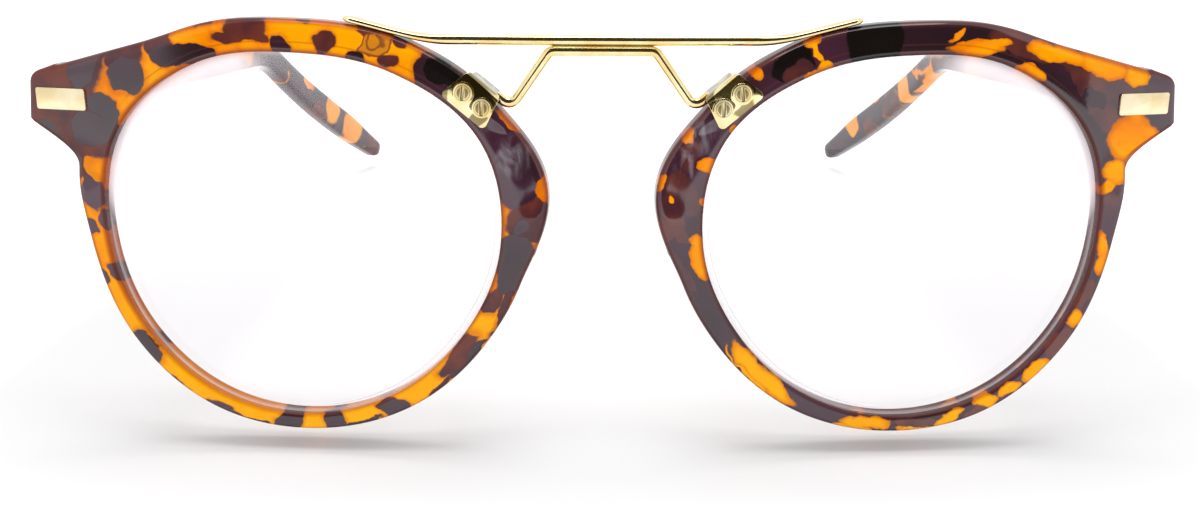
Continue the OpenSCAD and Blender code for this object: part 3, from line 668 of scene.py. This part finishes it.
def lensMaterial():
    material, surface, start = newMaterial("clearLens")
    tree = material.node_tree
    plug(surface, {"Base Color": rgb(253, 252, 254), "Transmission Weight": 1.0, "Specular IOR Level": 0.2,
                   "IOR": 1.5, "Roughness": 0.012 * start.noise(60.0, 4.0).ramp(0.55, 0.8)})
    # painted light: a faintly glowing whitish-pink ring along the lip and a painted glare over the upper lens,
    # with darker double lines painted on the nasal side
    fromLip, glare, nasal = [start.attribute(key) for key in ("fromLip", "glare", "nasal")]
    line = fromLip.band(0.85, 0.11, 0.02).most(fromLip.band(0.45, 0.09, 0.02) * 0.6) * nasal
    share = (fromLip.ramp(0.7, 0.05) * 0.45).most(glare * 0.9).most(line * 0.5)
    edge = start.node("BsdfPrincipled", {
        "Base Color": line.blend(rgb(255, 246, 251), rgb(176, 156, 180)), "Roughness": 0.3,
        "Emission Color": (1, 1, 1, 1), "Emission Strength": 0.2})
    ringed = share.node("MixShader", {0: share, 1: Sock(tree, surface.outputs[0]), 2: edge})
    shadow = start.node("LightPath", out="Is Shadow Ray")
    clear = start.node("BsdfTransparent")
    both = shadow.node("MixShader", {0: shadow, 1: ringed, 2: clear})
    plug(tree.nodes["Material Output"], {"Surface": both})
    return material


clearLens = lensMaterial()
print("materials of metal and lens are ready")

# rims, cut every 1.5 degrees, and every 0.5 degrees round the end piece
rimAngles = [a * 1.5 for a in range(94)] + [141 + a * 0.5 for a in range(50)] + [166 + a * 1.5 for a in range(130)]


def makeRim(side, word, material):
    verts, rings, gaps = [], [], []
    for angle in rimAngles:
        ring = softCorners(rimSection(angle))
        rings.append(ring)
        inner, outer = lensR(angle), outerR(angle)
        for p in ring:
            verts.append(sidePlace(p.x, p.z, p.y, side))
            v = math.hypot(p.x - lensX, p.y) - inner
            gaps.append((v, min(v, outer - inner - v)))
    obj = meshObject(word + "RimShell", verts, skin(rings, True))
    mesh, m, last = obj.data, len(rings[0]), len(rings) - 1
    uv = mesh.uv_layers.new(name="ring")
    for poly in mesh.polygons:
        wraps = {mesh.loops[i].vertex_index // m for i in poly.loop_indices} == {0, last}
        for i in poly.loop_indices:
            index = mesh.loops[i].vertex_index
            angle = 360 if wraps and index // m == 0 else rimAngles[index // m]
            uv.data[i].uv = (angle / 360, gaps[index][0] / 10)
    addValues(obj, "fromEdge", [g[1] for g in gaps])
    facesOut(obj)
    sharpBy(obj, 50)
    settle(obj, material, "front", word + "_rim", slotName="tortoise_rims")


for (side, word), spots in zip(sides, (rightBlotches, leftBlotches)):
    makeRim(side, word, rimMaterial(word + "RimTortoise", spots))
print("rims are made")

# lenses
lens = {"count": 180, "slack": 0.01, "glareFrom": 98, "glareFull": 110, "glareFades": 164, "glareEnds": 180,
        "shares": [0.0001] + [k / 16 for k in range(1, 13)] + [
            0.78, 0.81, 0.84, 0.87, 0.9, 0.93, 0.95, 0.97, 0.985, 1.0]}


def makeLens(side, word):
    angles = [360 * k / lens["count"] for k in range(lens["count"])]
    rings, fromLip, glare, nasal = [], [], [], []
    for radius, back in ((rim["curve"], 0), (rim["curve"] - rim["lensThick"], 1)):
        for share in (reversed(lens["shares"]) if back else lens["shares"]):
            ring = []
            for a in angles:
                r = share * (lensR(a) + rim["groove"] - rim["play"] - lens["slack"])
                x, z = onRim(a, r)
                ring.append(sidePlace(x, capY(radius, r), z, side))
                near = max(0.0, lensR(a) - r)
                fromLip.append(10.0 if back else near)
                nasal.append(0.0 if back else ease((cosD(a) + 0.1) / 0.4))
                upper = ease((a - lens["glareFrom"]) / (lens["glareFull"] - lens["glareFrom"]))
                upper *= 1 - ease((a - lens["glareFades"]) / (lens["glareEnds"] - lens["glareFades"]))
                glare.append(0.0 if back else upper * (1 - ease((near - 1.0) / 3.8)))
            rings.append(ring)
    obj = meshObject(word + "LensClear", [v for ring in rings for v in ring], skin(rings, False))
    for key, values in (("fromLip", fromLip), ("glare", glare), ("nasal", nasal)):
        addValues(obj, key, values)
    n = len(angles)
    b = bmesh.new()
    b.from_mesh(obj.data)
    for some in (slice(0, n), slice(-n, None)):  # the smallest ring of each face becomes one point
        b.verts.ensure_lookup_table()
        ring = b.verts[some]
        bmesh.ops.pointmerge(b, verts=ring, merge_co=sum((v.co for v in ring), Vector()) / n)
    b.to_mesh(obj.data)
    b.free()
    facesOut(obj)
    sharpBy(obj, 40)
    settle(obj, clearLens, "front", word + "_lens", slotName="clear_lens")


for side, word in sides:
    makeLens(side, word)
print("lenses are made")

# brow bar and bridge wire
bar = {"round": 1.25, "bladeThick": 0.8, "bladeWide": 2.5, "back": 1.6, "soft": 2.4, "below": 0.25,
       "tabWide": 3.8, "tabThick": 0.7, "tabDrop": 3.4, "tabOver": 0.22, "tabSunk": 0.02, "wireRound": 1.27,
       "wireHalf": 6.4, "wireBend": 1.2, "wireLap": 0.02, "sides": 32}
barZ = seatA.y - bar["below"]
barRun = (barZ - seatA.y - seatUp.y * bar["bladeThick"] / 2) / seatDir.y
barBend = seatA + seatUp * (bar["bladeThick"] / 2) + seatDir * barRun
barEnd = barBend.x - barRun + seatLong


def barAt(s):
    over, soft = s - barBend.x, bar["soft"]
    rise = over if over > soft else 0 if over < -soft else (over + soft) ** 2 / (4 * soft)
    level = 0 if over > soft else over if over < -soft else over - rise
    return barBend + Vector((level, 0)) + seatDir * rise


def barRing(s):
    c = barAt(s)
    ahead = (barAt(s + 0.1) - barAt(s - 0.1)).normalized()
    up = Vector((-ahead.y, ahead.x))
    blade = ease((s - barBend.x + 3) / 7)
    left = clamp((barEnd - s) / 1.2)
    tip = math.sqrt(max(0.03, 1 - (1 - left) ** 2))
    halfY = mix(bar["round"], bar["bladeWide"], blade) / 2 * tip
    halfZ = mix(bar["round"], bar["bladeThick"], blade) / 2 * tip
    square = mix(1, 0.62, blade)  # the blade is flatter on top than an ellipse
    ring = []
    for ca, sa in circle(bar["sides"]):
        p = c + up * halfZ * squared(ca, square)
        ring.append((p.x, bar["back"] + halfY * squared(sa, square), p.y))
    return ring


def makeBar():
    bladeFrom = barBend.x - 4
    stops = [0, 2, 4, stance["hub"]] + [bladeFrom + 0.4 * k for k in range(int((barEnd - barBend.x + 2.6) / 0.4))]
    stops = [s for s in stops if s < barEnd - 1.3]
    stops += [barEnd - d for d in (1.2, 1.0, 0.8, 0.6, 0.4, 0.25, 0.12, 0.04, 0)]
    half = [barRing(s) for s in stops]
    rings = [[(-x, y, z) for x, y, z in ring] for ring in reversed(half[1:])] + half
    obj = tube("browBar", [[spanPlace(*p) for p in ring] for ring in rings])
    sharpBy(obj, 40)
    return obj


def roundedBlock(name, ranges, side, radius):  # a block with rounded edges, along the blade's seat
    ux, uy, uz = sideTurn(side, seatTilt)
    (x0, x1), (y0, y1), (z0, z1) = ranges
    b = bmesh.new()
    bmesh.ops.create_cube(b, size=1)
    for v in b.verts:
        x, y, z = mix(x0, x1, v.co.x + 0.5), mix(y0, y1, v.co.y + 0.5), mix(z0, z1, v.co.z + 0.5)
        v.co = sidePlace(seatA.x, 0, seatA.y, side) + (ux * x + uy * y + uz * z) * mm
    bmesh.ops.bevel(b, geom=b.edges[:] + b.verts[:], offset=radius * mm, segments=4, profile=0.5, affect="EDGES")
    bmesh.ops.recalc_face_normals(b, faces=b.faces)
    obj = fromBmesh(name, b)
    sharpBy(obj, 35)
    return obj


def joined(name, pieces):
    with bpy.context.temp_override(active_object=pieces[0], object=pieces[0], selected_objects=pieces,
                                   selected_editable_objects=pieces):
        bpy.ops.object.join()
    pieces[0].name = name
    return pieces[0]


def bladeTab(side):  # the blade widens over the rim and turns down behind it
    half, middle, back = bar["tabWide"] / 2, seatLong * 0.5, rim["thick"]
    wide, behind, over = (middle - half, middle + half), back + bar["tabThick"], bar["tabOver"]
    strap = wide, (bar["back"], behind), (-bar["tabSunk"], over)
    drop = wide, (back, behind), (-bar["tabDrop"], over)
    return [roundedBlock("tabTop", strap, side, 0.08), roundedBlock("tabDrop", drop, side, 0.16)]


browBar = joined("browBar", [makeBar()] + bladeTab(-1) + bladeTab(1))
settle(browBar, gold, "front", "brow_bar", slotName="gold_wires")


# A Geometry Nodes tree with named sizes, its input node, and helpers that add a node to it and close it.
def nodeGroup(name, sizes):
    tree = bpy.data.node_groups.new(name, "GeometryNodeTree")
    tree.interface.new_socket("Geometry", in_out="INPUT", socket_type="NodeSocketGeometry")
    ids = {}
    for key, (kind, value) in sizes.items():
        made = tree.interface.new_socket(key, in_out="INPUT", socket_type="NodeSocket" + kind)
        if value is not None:
            made.default_value = value
        ids[key] = made.identifier
    tree.interface.new_socket("Geometry", in_out="OUTPUT", socket_type="NodeSocketGeometry")
    start, end = tree.nodes.new("NodeGroupInput"), tree.nodes.new("NodeGroupOutput")

    def add(kind, values, **settings):
        return newNode(tree, kind, values, settings)

    def close(geometry):
        real = add("GeometryNodeRealizeInstances", {"Geometry": geometry})
        coloured = add("GeometryNodeSetMaterial", {
            "Geometry": real.outputs[0], "Material": start.outputs["Material"]})
        tree.links.new(coloured.outputs[0], end.inputs[0])
        return tree, ids

    return start, add, close


def wireTree():  # sweeps a round wire along a route whose corners are bent
    start, add, close = nodeGroup("bentWire", {
        "Wire radius": ("Float", bar["wireRound"] / 2 * mm),
        "Bend radius": ("Float", bar["wireBend"] * mm), "Material": ("Material", None)})
    line = add("GeometryNodeMeshToCurve", {"Mesh": start.outputs["Geometry"]})
    bent = add("GeometryNodeFilletCurve", {
        "Curve": line.outputs[0], "Radius": start.outputs["Bend radius"], "Count": 14}, mode="POLY")
    profile = add("GeometryNodeCurvePrimitiveCircle", {"Resolution": 28, "Radius": start.outputs["Wire radius"]})
    swept = add("GeometryNodeCurveToMesh", {
        "Curve": bent.outputs[0], "Profile Curve": profile.outputs[0], "Fill Caps": True})
    return close(add("GeometryNodeSetShadeSmooth", {"Geometry": swept.outputs[0]}).outputs[0])


def grow(obj, tree, ids, values):  # runs a Geometry Nodes tree on an object and keeps the mesh
    modifier = obj.modifiers.new(tree.name, "NODES")
    modifier.node_group = tree
    for key, value in values.items():
        modifier[ids[key]] = value
    return evaluated(obj)


def makeWire():
    flange, foot = plate["outerLong"] - 1, plate["seat"] + plate["thick"] / 2
    wireZ = barZ - (bar["round"] + bar["wireRound"]) / 2 + bar["wireLap"]
    low, end = onPlate(-flange / 2 - 2.2, foot), onPlate(-flange / 2 + 0.1, foot)
    half = [(bar["wireHalf"], wireZ), (low.x, low.y), (end.x, end.y)]
    verts = [spanPlace(x, bar["back"], z) for x, z in [(-x, z) for x, z in reversed(half)] + half]
    obj = meshObject("bridgeWire", verts, [], [(i, i + 1) for i in range(len(verts) - 1)])
    return grow(obj, *wireTree(), {
        "Wire radius": bar["wireRound"] / 2 * mm, "Bend radius": bar["wireBend"] * mm, "Material": gold})


settle(makeWire(), gold, "front", "bridge_wire", slotName="gold_wires")
print("brow bar and bridge wire are made")


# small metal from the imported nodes
def softEdges(obj, width, segments, angle):
    modifier = obj.modifiers.new("softEdges", "BEVEL")
    modifier.width = width * mm
    modifier.segments = segments
    modifier.limit_method = "ANGLE"
    modifier.angle_limit = math.radians(angle)
    return evaluated(obj)


def dressed(node, name, material, body, bevel, slotName):  # a merged copy with softened edges
    b = bmesh.new()
    b.from_mesh(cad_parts[node].data)
    bmesh.ops.remove_doubles(b, verts=b.verts, dist=1e-6)
    bmesh.ops.dissolve_limit(b, angle_limit=math.radians(1.2), verts=b.verts, edges=b.edges)
    obj = softEdges(fromBmesh(name, b), bevel, 3, 40)
    sharpBy(obj, 35)
    settle(obj, material, body, node, slotName=slotName)


for side, word in sides:
    dressed(word + "_bridge_plate", word + "BridgePlate", plateGold, "front", 0.17, "gold_plates")
    dressed(word + "_corner_plaque", word + "CornerPlaque", champagne, "front", 0.16, "champagne_plaques")
    dressed(word + "_front_hinge", word + "FrontHinge", screwGold, "front", 0.08, "gold_hinges")
    dressed(word + "_temple_hinge", word + "TempleHinge", screwGold, word + "_temple_body", 0.08, "gold_hinges")
print("plates, plaques and hinges are dressed")

# screws
screw = {"head": 1.85, "plateHead": 2.56, "high": 0.5, "slot": 0.26, "slotLong": 0.7, "slotDeep": 0.2,
         "dome": 0.16, "soft": 0.035, "sides": 48}


def screwHead():  # a slotted head that stands on its own z = 0, as the pattern that is repeated
    r, dome, high = screw["head"] / 2, screw["dome"], screw["high"]
    profile = [(r - 0.02, 0), (r, 0.06), (r, high - dome - 0.1), (r - 0.05, high - dome)]
    profile += [(r * k, high - dome * k * k) for k in (0.85, 0.65, 0.45, 0.25, 0.08)]
    obj = tube("screwHead", [[(pr * mm * ca, pr * mm * sa, pz * mm) for ca, sa in circle(screw["sides"])]
                             for pr, pz in profile])
    b = bmesh.new()
    bmesh.ops.create_cube(b, size=1)
    middle = 1 + high - dome * 0.3 - screw["slotDeep"]
    for v in b.verts:
        x, y, z = v.co
        v.co = Vector((x * screw["head"] * screw["slotLong"], y * screw["slot"], z * 2 + middle)) * mm
    cutter = fromBmesh("slotCutter", b)
    cut = obj.modifiers.new("slot", "BOOLEAN")
    cut.object = cutter
    cut.operation = "DIFFERENCE"
    cut.solver = "EXACT"
    softEdges(obj, screw["soft"], 2, 50)
    bpy.data.objects.remove(cutter)
    at = obj.data.attributes.new("headPlace", "FLOAT_VECTOR", "POINT")
    for i, v in enumerate(obj.data.vertices):
        at.data[i].vector = v.co / (r * mm)
    sharpBy(obj, 40)
    return obj


def screwTree():  # puts a head on every point, turned as the point says
    start, add, close = nodeGroup("screwHeads", {
        "Head": ("Object", None), "Head scale": ("Float", 1.0), "Material": ("Material", None)})
    head = add("GeometryNodeObjectInfo", {"Object": start.outputs["Head"]})
    turn = add("GeometryNodeInputNamedAttribute", {"Name": "turn"}, data_type="FLOAT_VECTOR")
    toTurn = add("FunctionNodeEulerToRotation", {"Euler": turn.outputs["Attribute"]})
    points = add("GeometryNodeInstanceOnPoints", {
        "Points": start.outputs["Geometry"], "Instance": head.outputs["Geometry"],
        "Rotation": toTurn.outputs[0], "Scale": start.outputs["Head scale"]})
    return close(points.outputs[0])


headPattern = screwHead()
heads, headIds = screwTree()


# spots: the middle of each head's foot, its axis outwards and the direction of its slot
def placeScrews(name, node, spots, scale=1.0):
    obj = meshObject(name, [place for place, _, _ in spots], [])
    turns = obj.data.attributes.new("turn", "FLOAT_VECTOR", "POINT")
    for i, (_, axis, slot) in enumerate(spots):
        z = axis.normalized()
        x = (slot - z * slot.dot(z)).normalized()
        turns.data[i].vector = Matrix((x, z.cross(x), z)).transposed().to_euler()
    grow(obj, heads, headIds, {"Head": headPattern, "Head scale": scale, "Material": screwGold})
    settle(obj, screwGold, "front", node, slotName="gold_screws")


for side, word in sides:
    ux, uy, uz = sideTurn(side, plate["tilt"])
    spots = []
    for i, lean in zip((-0.5, 0.5), plate["screwLeans"]):
        p = onPlate(plate["screwsAt"][0] + i * plate["screwPitch"], plate["screwsAt"][1])
        spots.append((sidePlace(p.x, plate["headsFrom"], p.y, side), -uy, ux * cosD(lean) + uz * sinD(lean)))
    placeScrews(word + "PlateScrews", word + "_bridge_screws", spots, screw["plateHead"] / screw["head"])
spots = []
for side, word in sides:
    ux, uy, uz = sideTurn(side, seatTilt)
    p = seatA + seatDir * (seatLong * 0.5) - seatUp * 2
    spots.append((sidePlace(p.x, rim["thick"] + bar["tabThick"], p.y, side), uy, ux + uz * 0.4))
placeScrews("tabScrews", "brow_bar_screws", spots)
hinge = {"inside": 6.4, "behind": 2, "high": 5.4}
hingeX, hingeY = endX - hinge["inside"], rim["thick"] + rim["endThicker"] + hinge["behind"]
hingeZ = rim["endTop"] - rim["endHigh"] / 2
for side, word in sides:
    ux, uy, uz = sideTurn(side, 0)
    place = sidePlace(hingeX, hingeY, hingeZ + hinge["high"] / 2, side)
    placeScrews(word + "HingeScrew", word + "_hinge_screw", [(place, uz, ux + uy * 0.5)])
bpy.data.objects.remove(headPattern)
print("screws are in place")

# temples and nose pads
temple = {"long": 134.0, "bendAt": 78.0, "bendR": 32.0, "bend": 26.5, "drop": 1.8, "curve": 9.4, "thick": 4.3,
          "high": 5.4, "bendHigh": 4.5, "tipHigh": 5.6, "tipTaper": 0.64, "taperLong": 16, "inside": 1.6,
          "butt": 0.12, "square": 0.55, "leafLong": 8.9, "leafHalf": 1.7, "leafDeep": 0.12, "sides": 40}
templeX = temple["inside"] + temple["thick"] / 2
bendFrom = temple["bendAt"] - temple["bendR"] * math.tan(math.radians(temple["bend"] / 2))
bendLong = temple["bendR"] * math.radians(temple["bend"])


def along(pairs, s):  # eases from value to value at the given places
    if s <= pairs[0][0]:
        return pairs[0][1]
    for (a, va), (b, vb) in zip(pairs, pairs[1:]):
        if s <= b:
            return mix(va, vb, ease((s - a) / (b - a)))
    return pairs[-1][1]


def templePath(s):
    inBend = max(0, min(bendLong, s - bendFrom))
    turn = math.degrees(inBend / temple["bendR"])
    rest = max(0, s - bendFrom - bendLong)
    y = min(s, bendFrom) + temple["bendR"] * sinD(turn) + rest * cosD(turn)
    z = temple["bendR"] * (cosD(turn) - 1) - rest * sinD(turn)
    c, d = cosD(temple["drop"]), sinD(temple["drop"])
    past = clamp((s - bendFrom) / (temple["long"] - bendFrom))
    return Vector((templeX - temple["curve"] * past * past, y * c + z * d, -y * d + z * c))


def templeRing(s):
    c = templePath(s)
    ahead = (templePath(s + 0.4) - templePath(s - 0.4)).normalized()
    side = ahead.cross(Vector((0, 0, 1))).normalized()
    up = side.cross(ahead)
    left = (temple["long"] - s) / 2.8
    r = 1 if left >= 1 else math.sqrt(max(0.004, 1 - (1 - left) ** 2))
    r *= mix(0.93, 1, ease((s + 1.9) / 0.5))
    tall, low, thick, end = temple["high"], temple["bendHigh"], temple["thick"], temple["long"]
    heights = [(0, tall), (50, mix(tall, low, 0.75)), (temple["bendAt"], low), (end - 22, temple["tipHigh"])]
    high = along(heights, s)
    wide = along([(0, thick), (60, thick * 0.92), (end - 10, thick * 0.76)], s) * r
    taper = mix(1, temple["tipTaper"], ease((s - end + temple["taperLong"]) / temple["taperLong"]))
    c -= up * (high * r * (1 - taper) * 0.3)
    high *= r * taper
    leafX = temple["inside"] + temple["leafDeep"]
    ring = []
    for ca, sa in circle(temple["sides"]):
        p = c + side * (wide / 2 * squared(ca, temple["square"])) + up * (high / 2 * squared(sa, temple["square"]))
        if p.y < temple["leafLong"] and abs(p.z) < temple["leafHalf"] and p.x < leafX:
            p.x = leafX
        ring.append(p)
    return ring


def makeTemple(side, word, material):
    first, end = temple["butt"] - hinge["behind"], temple["long"]
    stops = [first, first + 0.12, first + 0.25, first + 0.45] + [first + 1 + 1.6 * k for k in range(81)]
    stops = [s for s in stops if s < end - 4]
    stops += [end - d for d in (3.6, 3, 2.5, 2, 1.6, 1.2, 0.8, 0.5, 0.25, 0.1, 0)]
    rings = [templeRing(s) for s in stops]
    for p in rings[0]:
        p.y = first
    obj = tube(word + "TempleShell", [[sidePlace(p.x + hingeX, p.y + hingeY, p.z + hingeZ, side) for p in ring]
                                      for ring in rings])
    mesh, m = obj.data, temple["sides"]
    uv = mesh.uv_layers.new(name="run")
    for poly in mesh.polygons:
        for i in poly.loop_indices:
            index = mesh.loops[i].vertex_index
            up = rings[index // m][index % m] - templePath(stops[index // m])
            uv.data[i].uv = (stops[index // m] / 150, up.z / 10 + 0.5)
    sharpBy(obj, 50)
    settle(obj, material, word + "_temple_body", word + "_temple", slotName="tortoise_temples")


for (side, word), seed in zip(sides, (3, 8)):
    makeTemple(side, word, wildShell(word + "TempleTortoise", 100.0, seed, tipBlotches[word]))

pad = {"at": 6, "turned": 3, "inward": 0.6, "long": 12.0, "wide": 4.2, "deep": 4.4, "spread": 2.2, "drop": 0.6,
       "sunk": 0.02, "sides": 36}


def makePad(side, word, material):
    mx, mz = onRim(pad["at"], (lensR(pad["at"]) + outerR(pad["at"])) / 2 - pad["inward"])
    lx, lz = sinD(pad["at"] + pad["turned"]), cosD(pad["at"] + pad["turned"])
    rings = []
    for t in (0, 0.12, 0.25, 0.38, 0.5, 0.6, 0.7, 0.78, 0.86, 0.91, 0.96, 0.99, 1):
        size = math.sqrt(1 - 0.93 * t ** 2.6)
        y = rim["thick"] - pad["sunk"] + pad["deep"] * t
        ring = []
        for ca, sa in circle(pad["sides"]):
            u = pad["wide"] / 2 * size * sa - pad["spread"] * t
            w = pad["long"] / 2 * size * ca - pad["drop"] * t
            ring.append(sidePlace(mx - lz * u + lx * w, y, mz + lx * u + lz * w, side))
        rings.append(ring)
    obj = tube(word + "NosePad", rings)
    modifier = obj.modifiers.new("round", "SUBSURF")
    modifier.levels = modifier.render_levels = 1
    sharpBy(evaluated(obj), 60)
    settle(obj, material, "front", word + "_nose_pad", slotName="tortoise_rims")


padShell = wildShell("padTortoise", 150.0, 5)
for side, word in sides:
    makePad(side, word, padShell)
print("temples and nose pads are made")

# camera
view = {"place": (0, -213.85, 76.41), "down": 19.822, "roll": 0.27, "shift": (-0.0015, 0.0017), "lens": 37.85}
cameraData = bpy.data.cameras.new("camera")
camera = placed("camera", cameraData)
cameraData.lens = view["lens"]
cameraData.sensor_width = 36
cameraData.clip_start = 0.01
cameraData.shift_x, cameraData.shift_y = view["shift"]
pitch = Matrix.Rotation(math.radians(90 - view["down"]), 4, "X")
roll = Matrix.Rotation(math.radians(view["roll"]), 4, "Z")
camera.matrix_world = Matrix.Translation(Vector(view["place"]) * mm) @ pitch @ roll
scene.camera = camera

# floor, card and light
studio = {"floorColour": (0.85, 0.852, 0.856, 1), "floorGlow": 0.45, "floorHigh": -0.0026, "floorHalf": 2,
          "world": 0.7, "overhead": 2.6, "front": 3.4, "lampsFace": (0, -0.05, 0.02)}


def seenRays(tree):  # 1 for rays from the camera, off mirrors and through glass
    path = tree.nodes.new("ShaderNodeLightPath")
    rays = [Sock(tree, path.outputs["Is %s Ray" % kind]) for kind in ("Camera", "Glossy", "Transmission")]
    return rays[0].most(rays[1]).most(rays[2])


def plainSheet(name, corners, material):
    obj = meshObject(name, corners, [(0, 1, 2, 3)], smooth=False)
    obj.data.materials.append(material)
    return obj


def floorMaterial():
    material, surface, start = newMaterial("paleFloor")
    back = start.part(1).ramp(-0.03, 0.09)
    away = start.vector("ADD", (0, 0.06, 0)).vector("LENGTH", out=1).ramp(0.13, 0.4)
    plug(surface, {
        "Base Color": studio["floorColour"], "Roughness": 0.9, "Specular IOR Level": 0.0,
        "Emission Color": back.most(away).blend((0.02, 0.02, 0.02, 1), (1, 1, 1, 1)),
        "Emission Strength": seenRays(material.node_tree) * studio["floorGlow"]})
    return material


half, high = studio["floorHalf"], studio["floorHigh"]
plainSheet("floor", [(x * half, y * half, high) for x, y in ((-1, -1), (1, -1), (1, 1), (-1, 1))], floorMaterial())

world = bpy.data.worlds.new("softStudio")
scene.world = world
world.use_nodes = True
strength = seenRays(world.node_tree) * (1.0 - studio["world"]) + studio["world"]
plug(world.node_tree.nodes["Background"], {"Color": (1, 1, 1, 1), "Strength": strength})


def cardMaterial(name, colour):
    material, surface, start = newMaterial(name)
    tree = material.node_tree
    tree.nodes.remove(surface)
    plug(tree.nodes["Material Output"], {"Surface": start.node("Emission", {"Color": colour})})
    return material


darkCard = plainSheet("darkCard", [(-0.3, -0.62, 0.0), (0.36, -0.62, 0.0), (0.36, -0.2, 0.85), (-0.3, -0.2, 0.85)],
                      cardMaterial("darkCard", (0.05, 0.04, 0.02, 1)))
darkCard.visible_camera = darkCard.visible_diffuse = darkCard.visible_transmission = False  # only mirrored
darkCard.visible_shadow = darkCard.visible_volume_scatter = False


def softLamp(name, size, energy, place):
    lampData = bpy.data.lights.new(name, "AREA")
    lampData.shape = "RECTANGLE"
    lampData.size, lampData.size_y = size
    lampData.energy = energy
    lamp = placed(name, lampData)
    lamp.location = place
    lamp.rotation_euler = (Vector(studio["lampsFace"]) - lamp.location).to_track_quat("-Z", "Y").to_euler()
    return lamp


softLamp("overhead", (0.5, 0.38), studio["overhead"], (0, -0.01, 0.7))
softLamp("front", (1.4, 0.8), studio["front"], (0, -1.05, 0.5)).visible_glossy = False

scene.view_settings.view_transform = "Standard"
print("camera, floor and light are set")
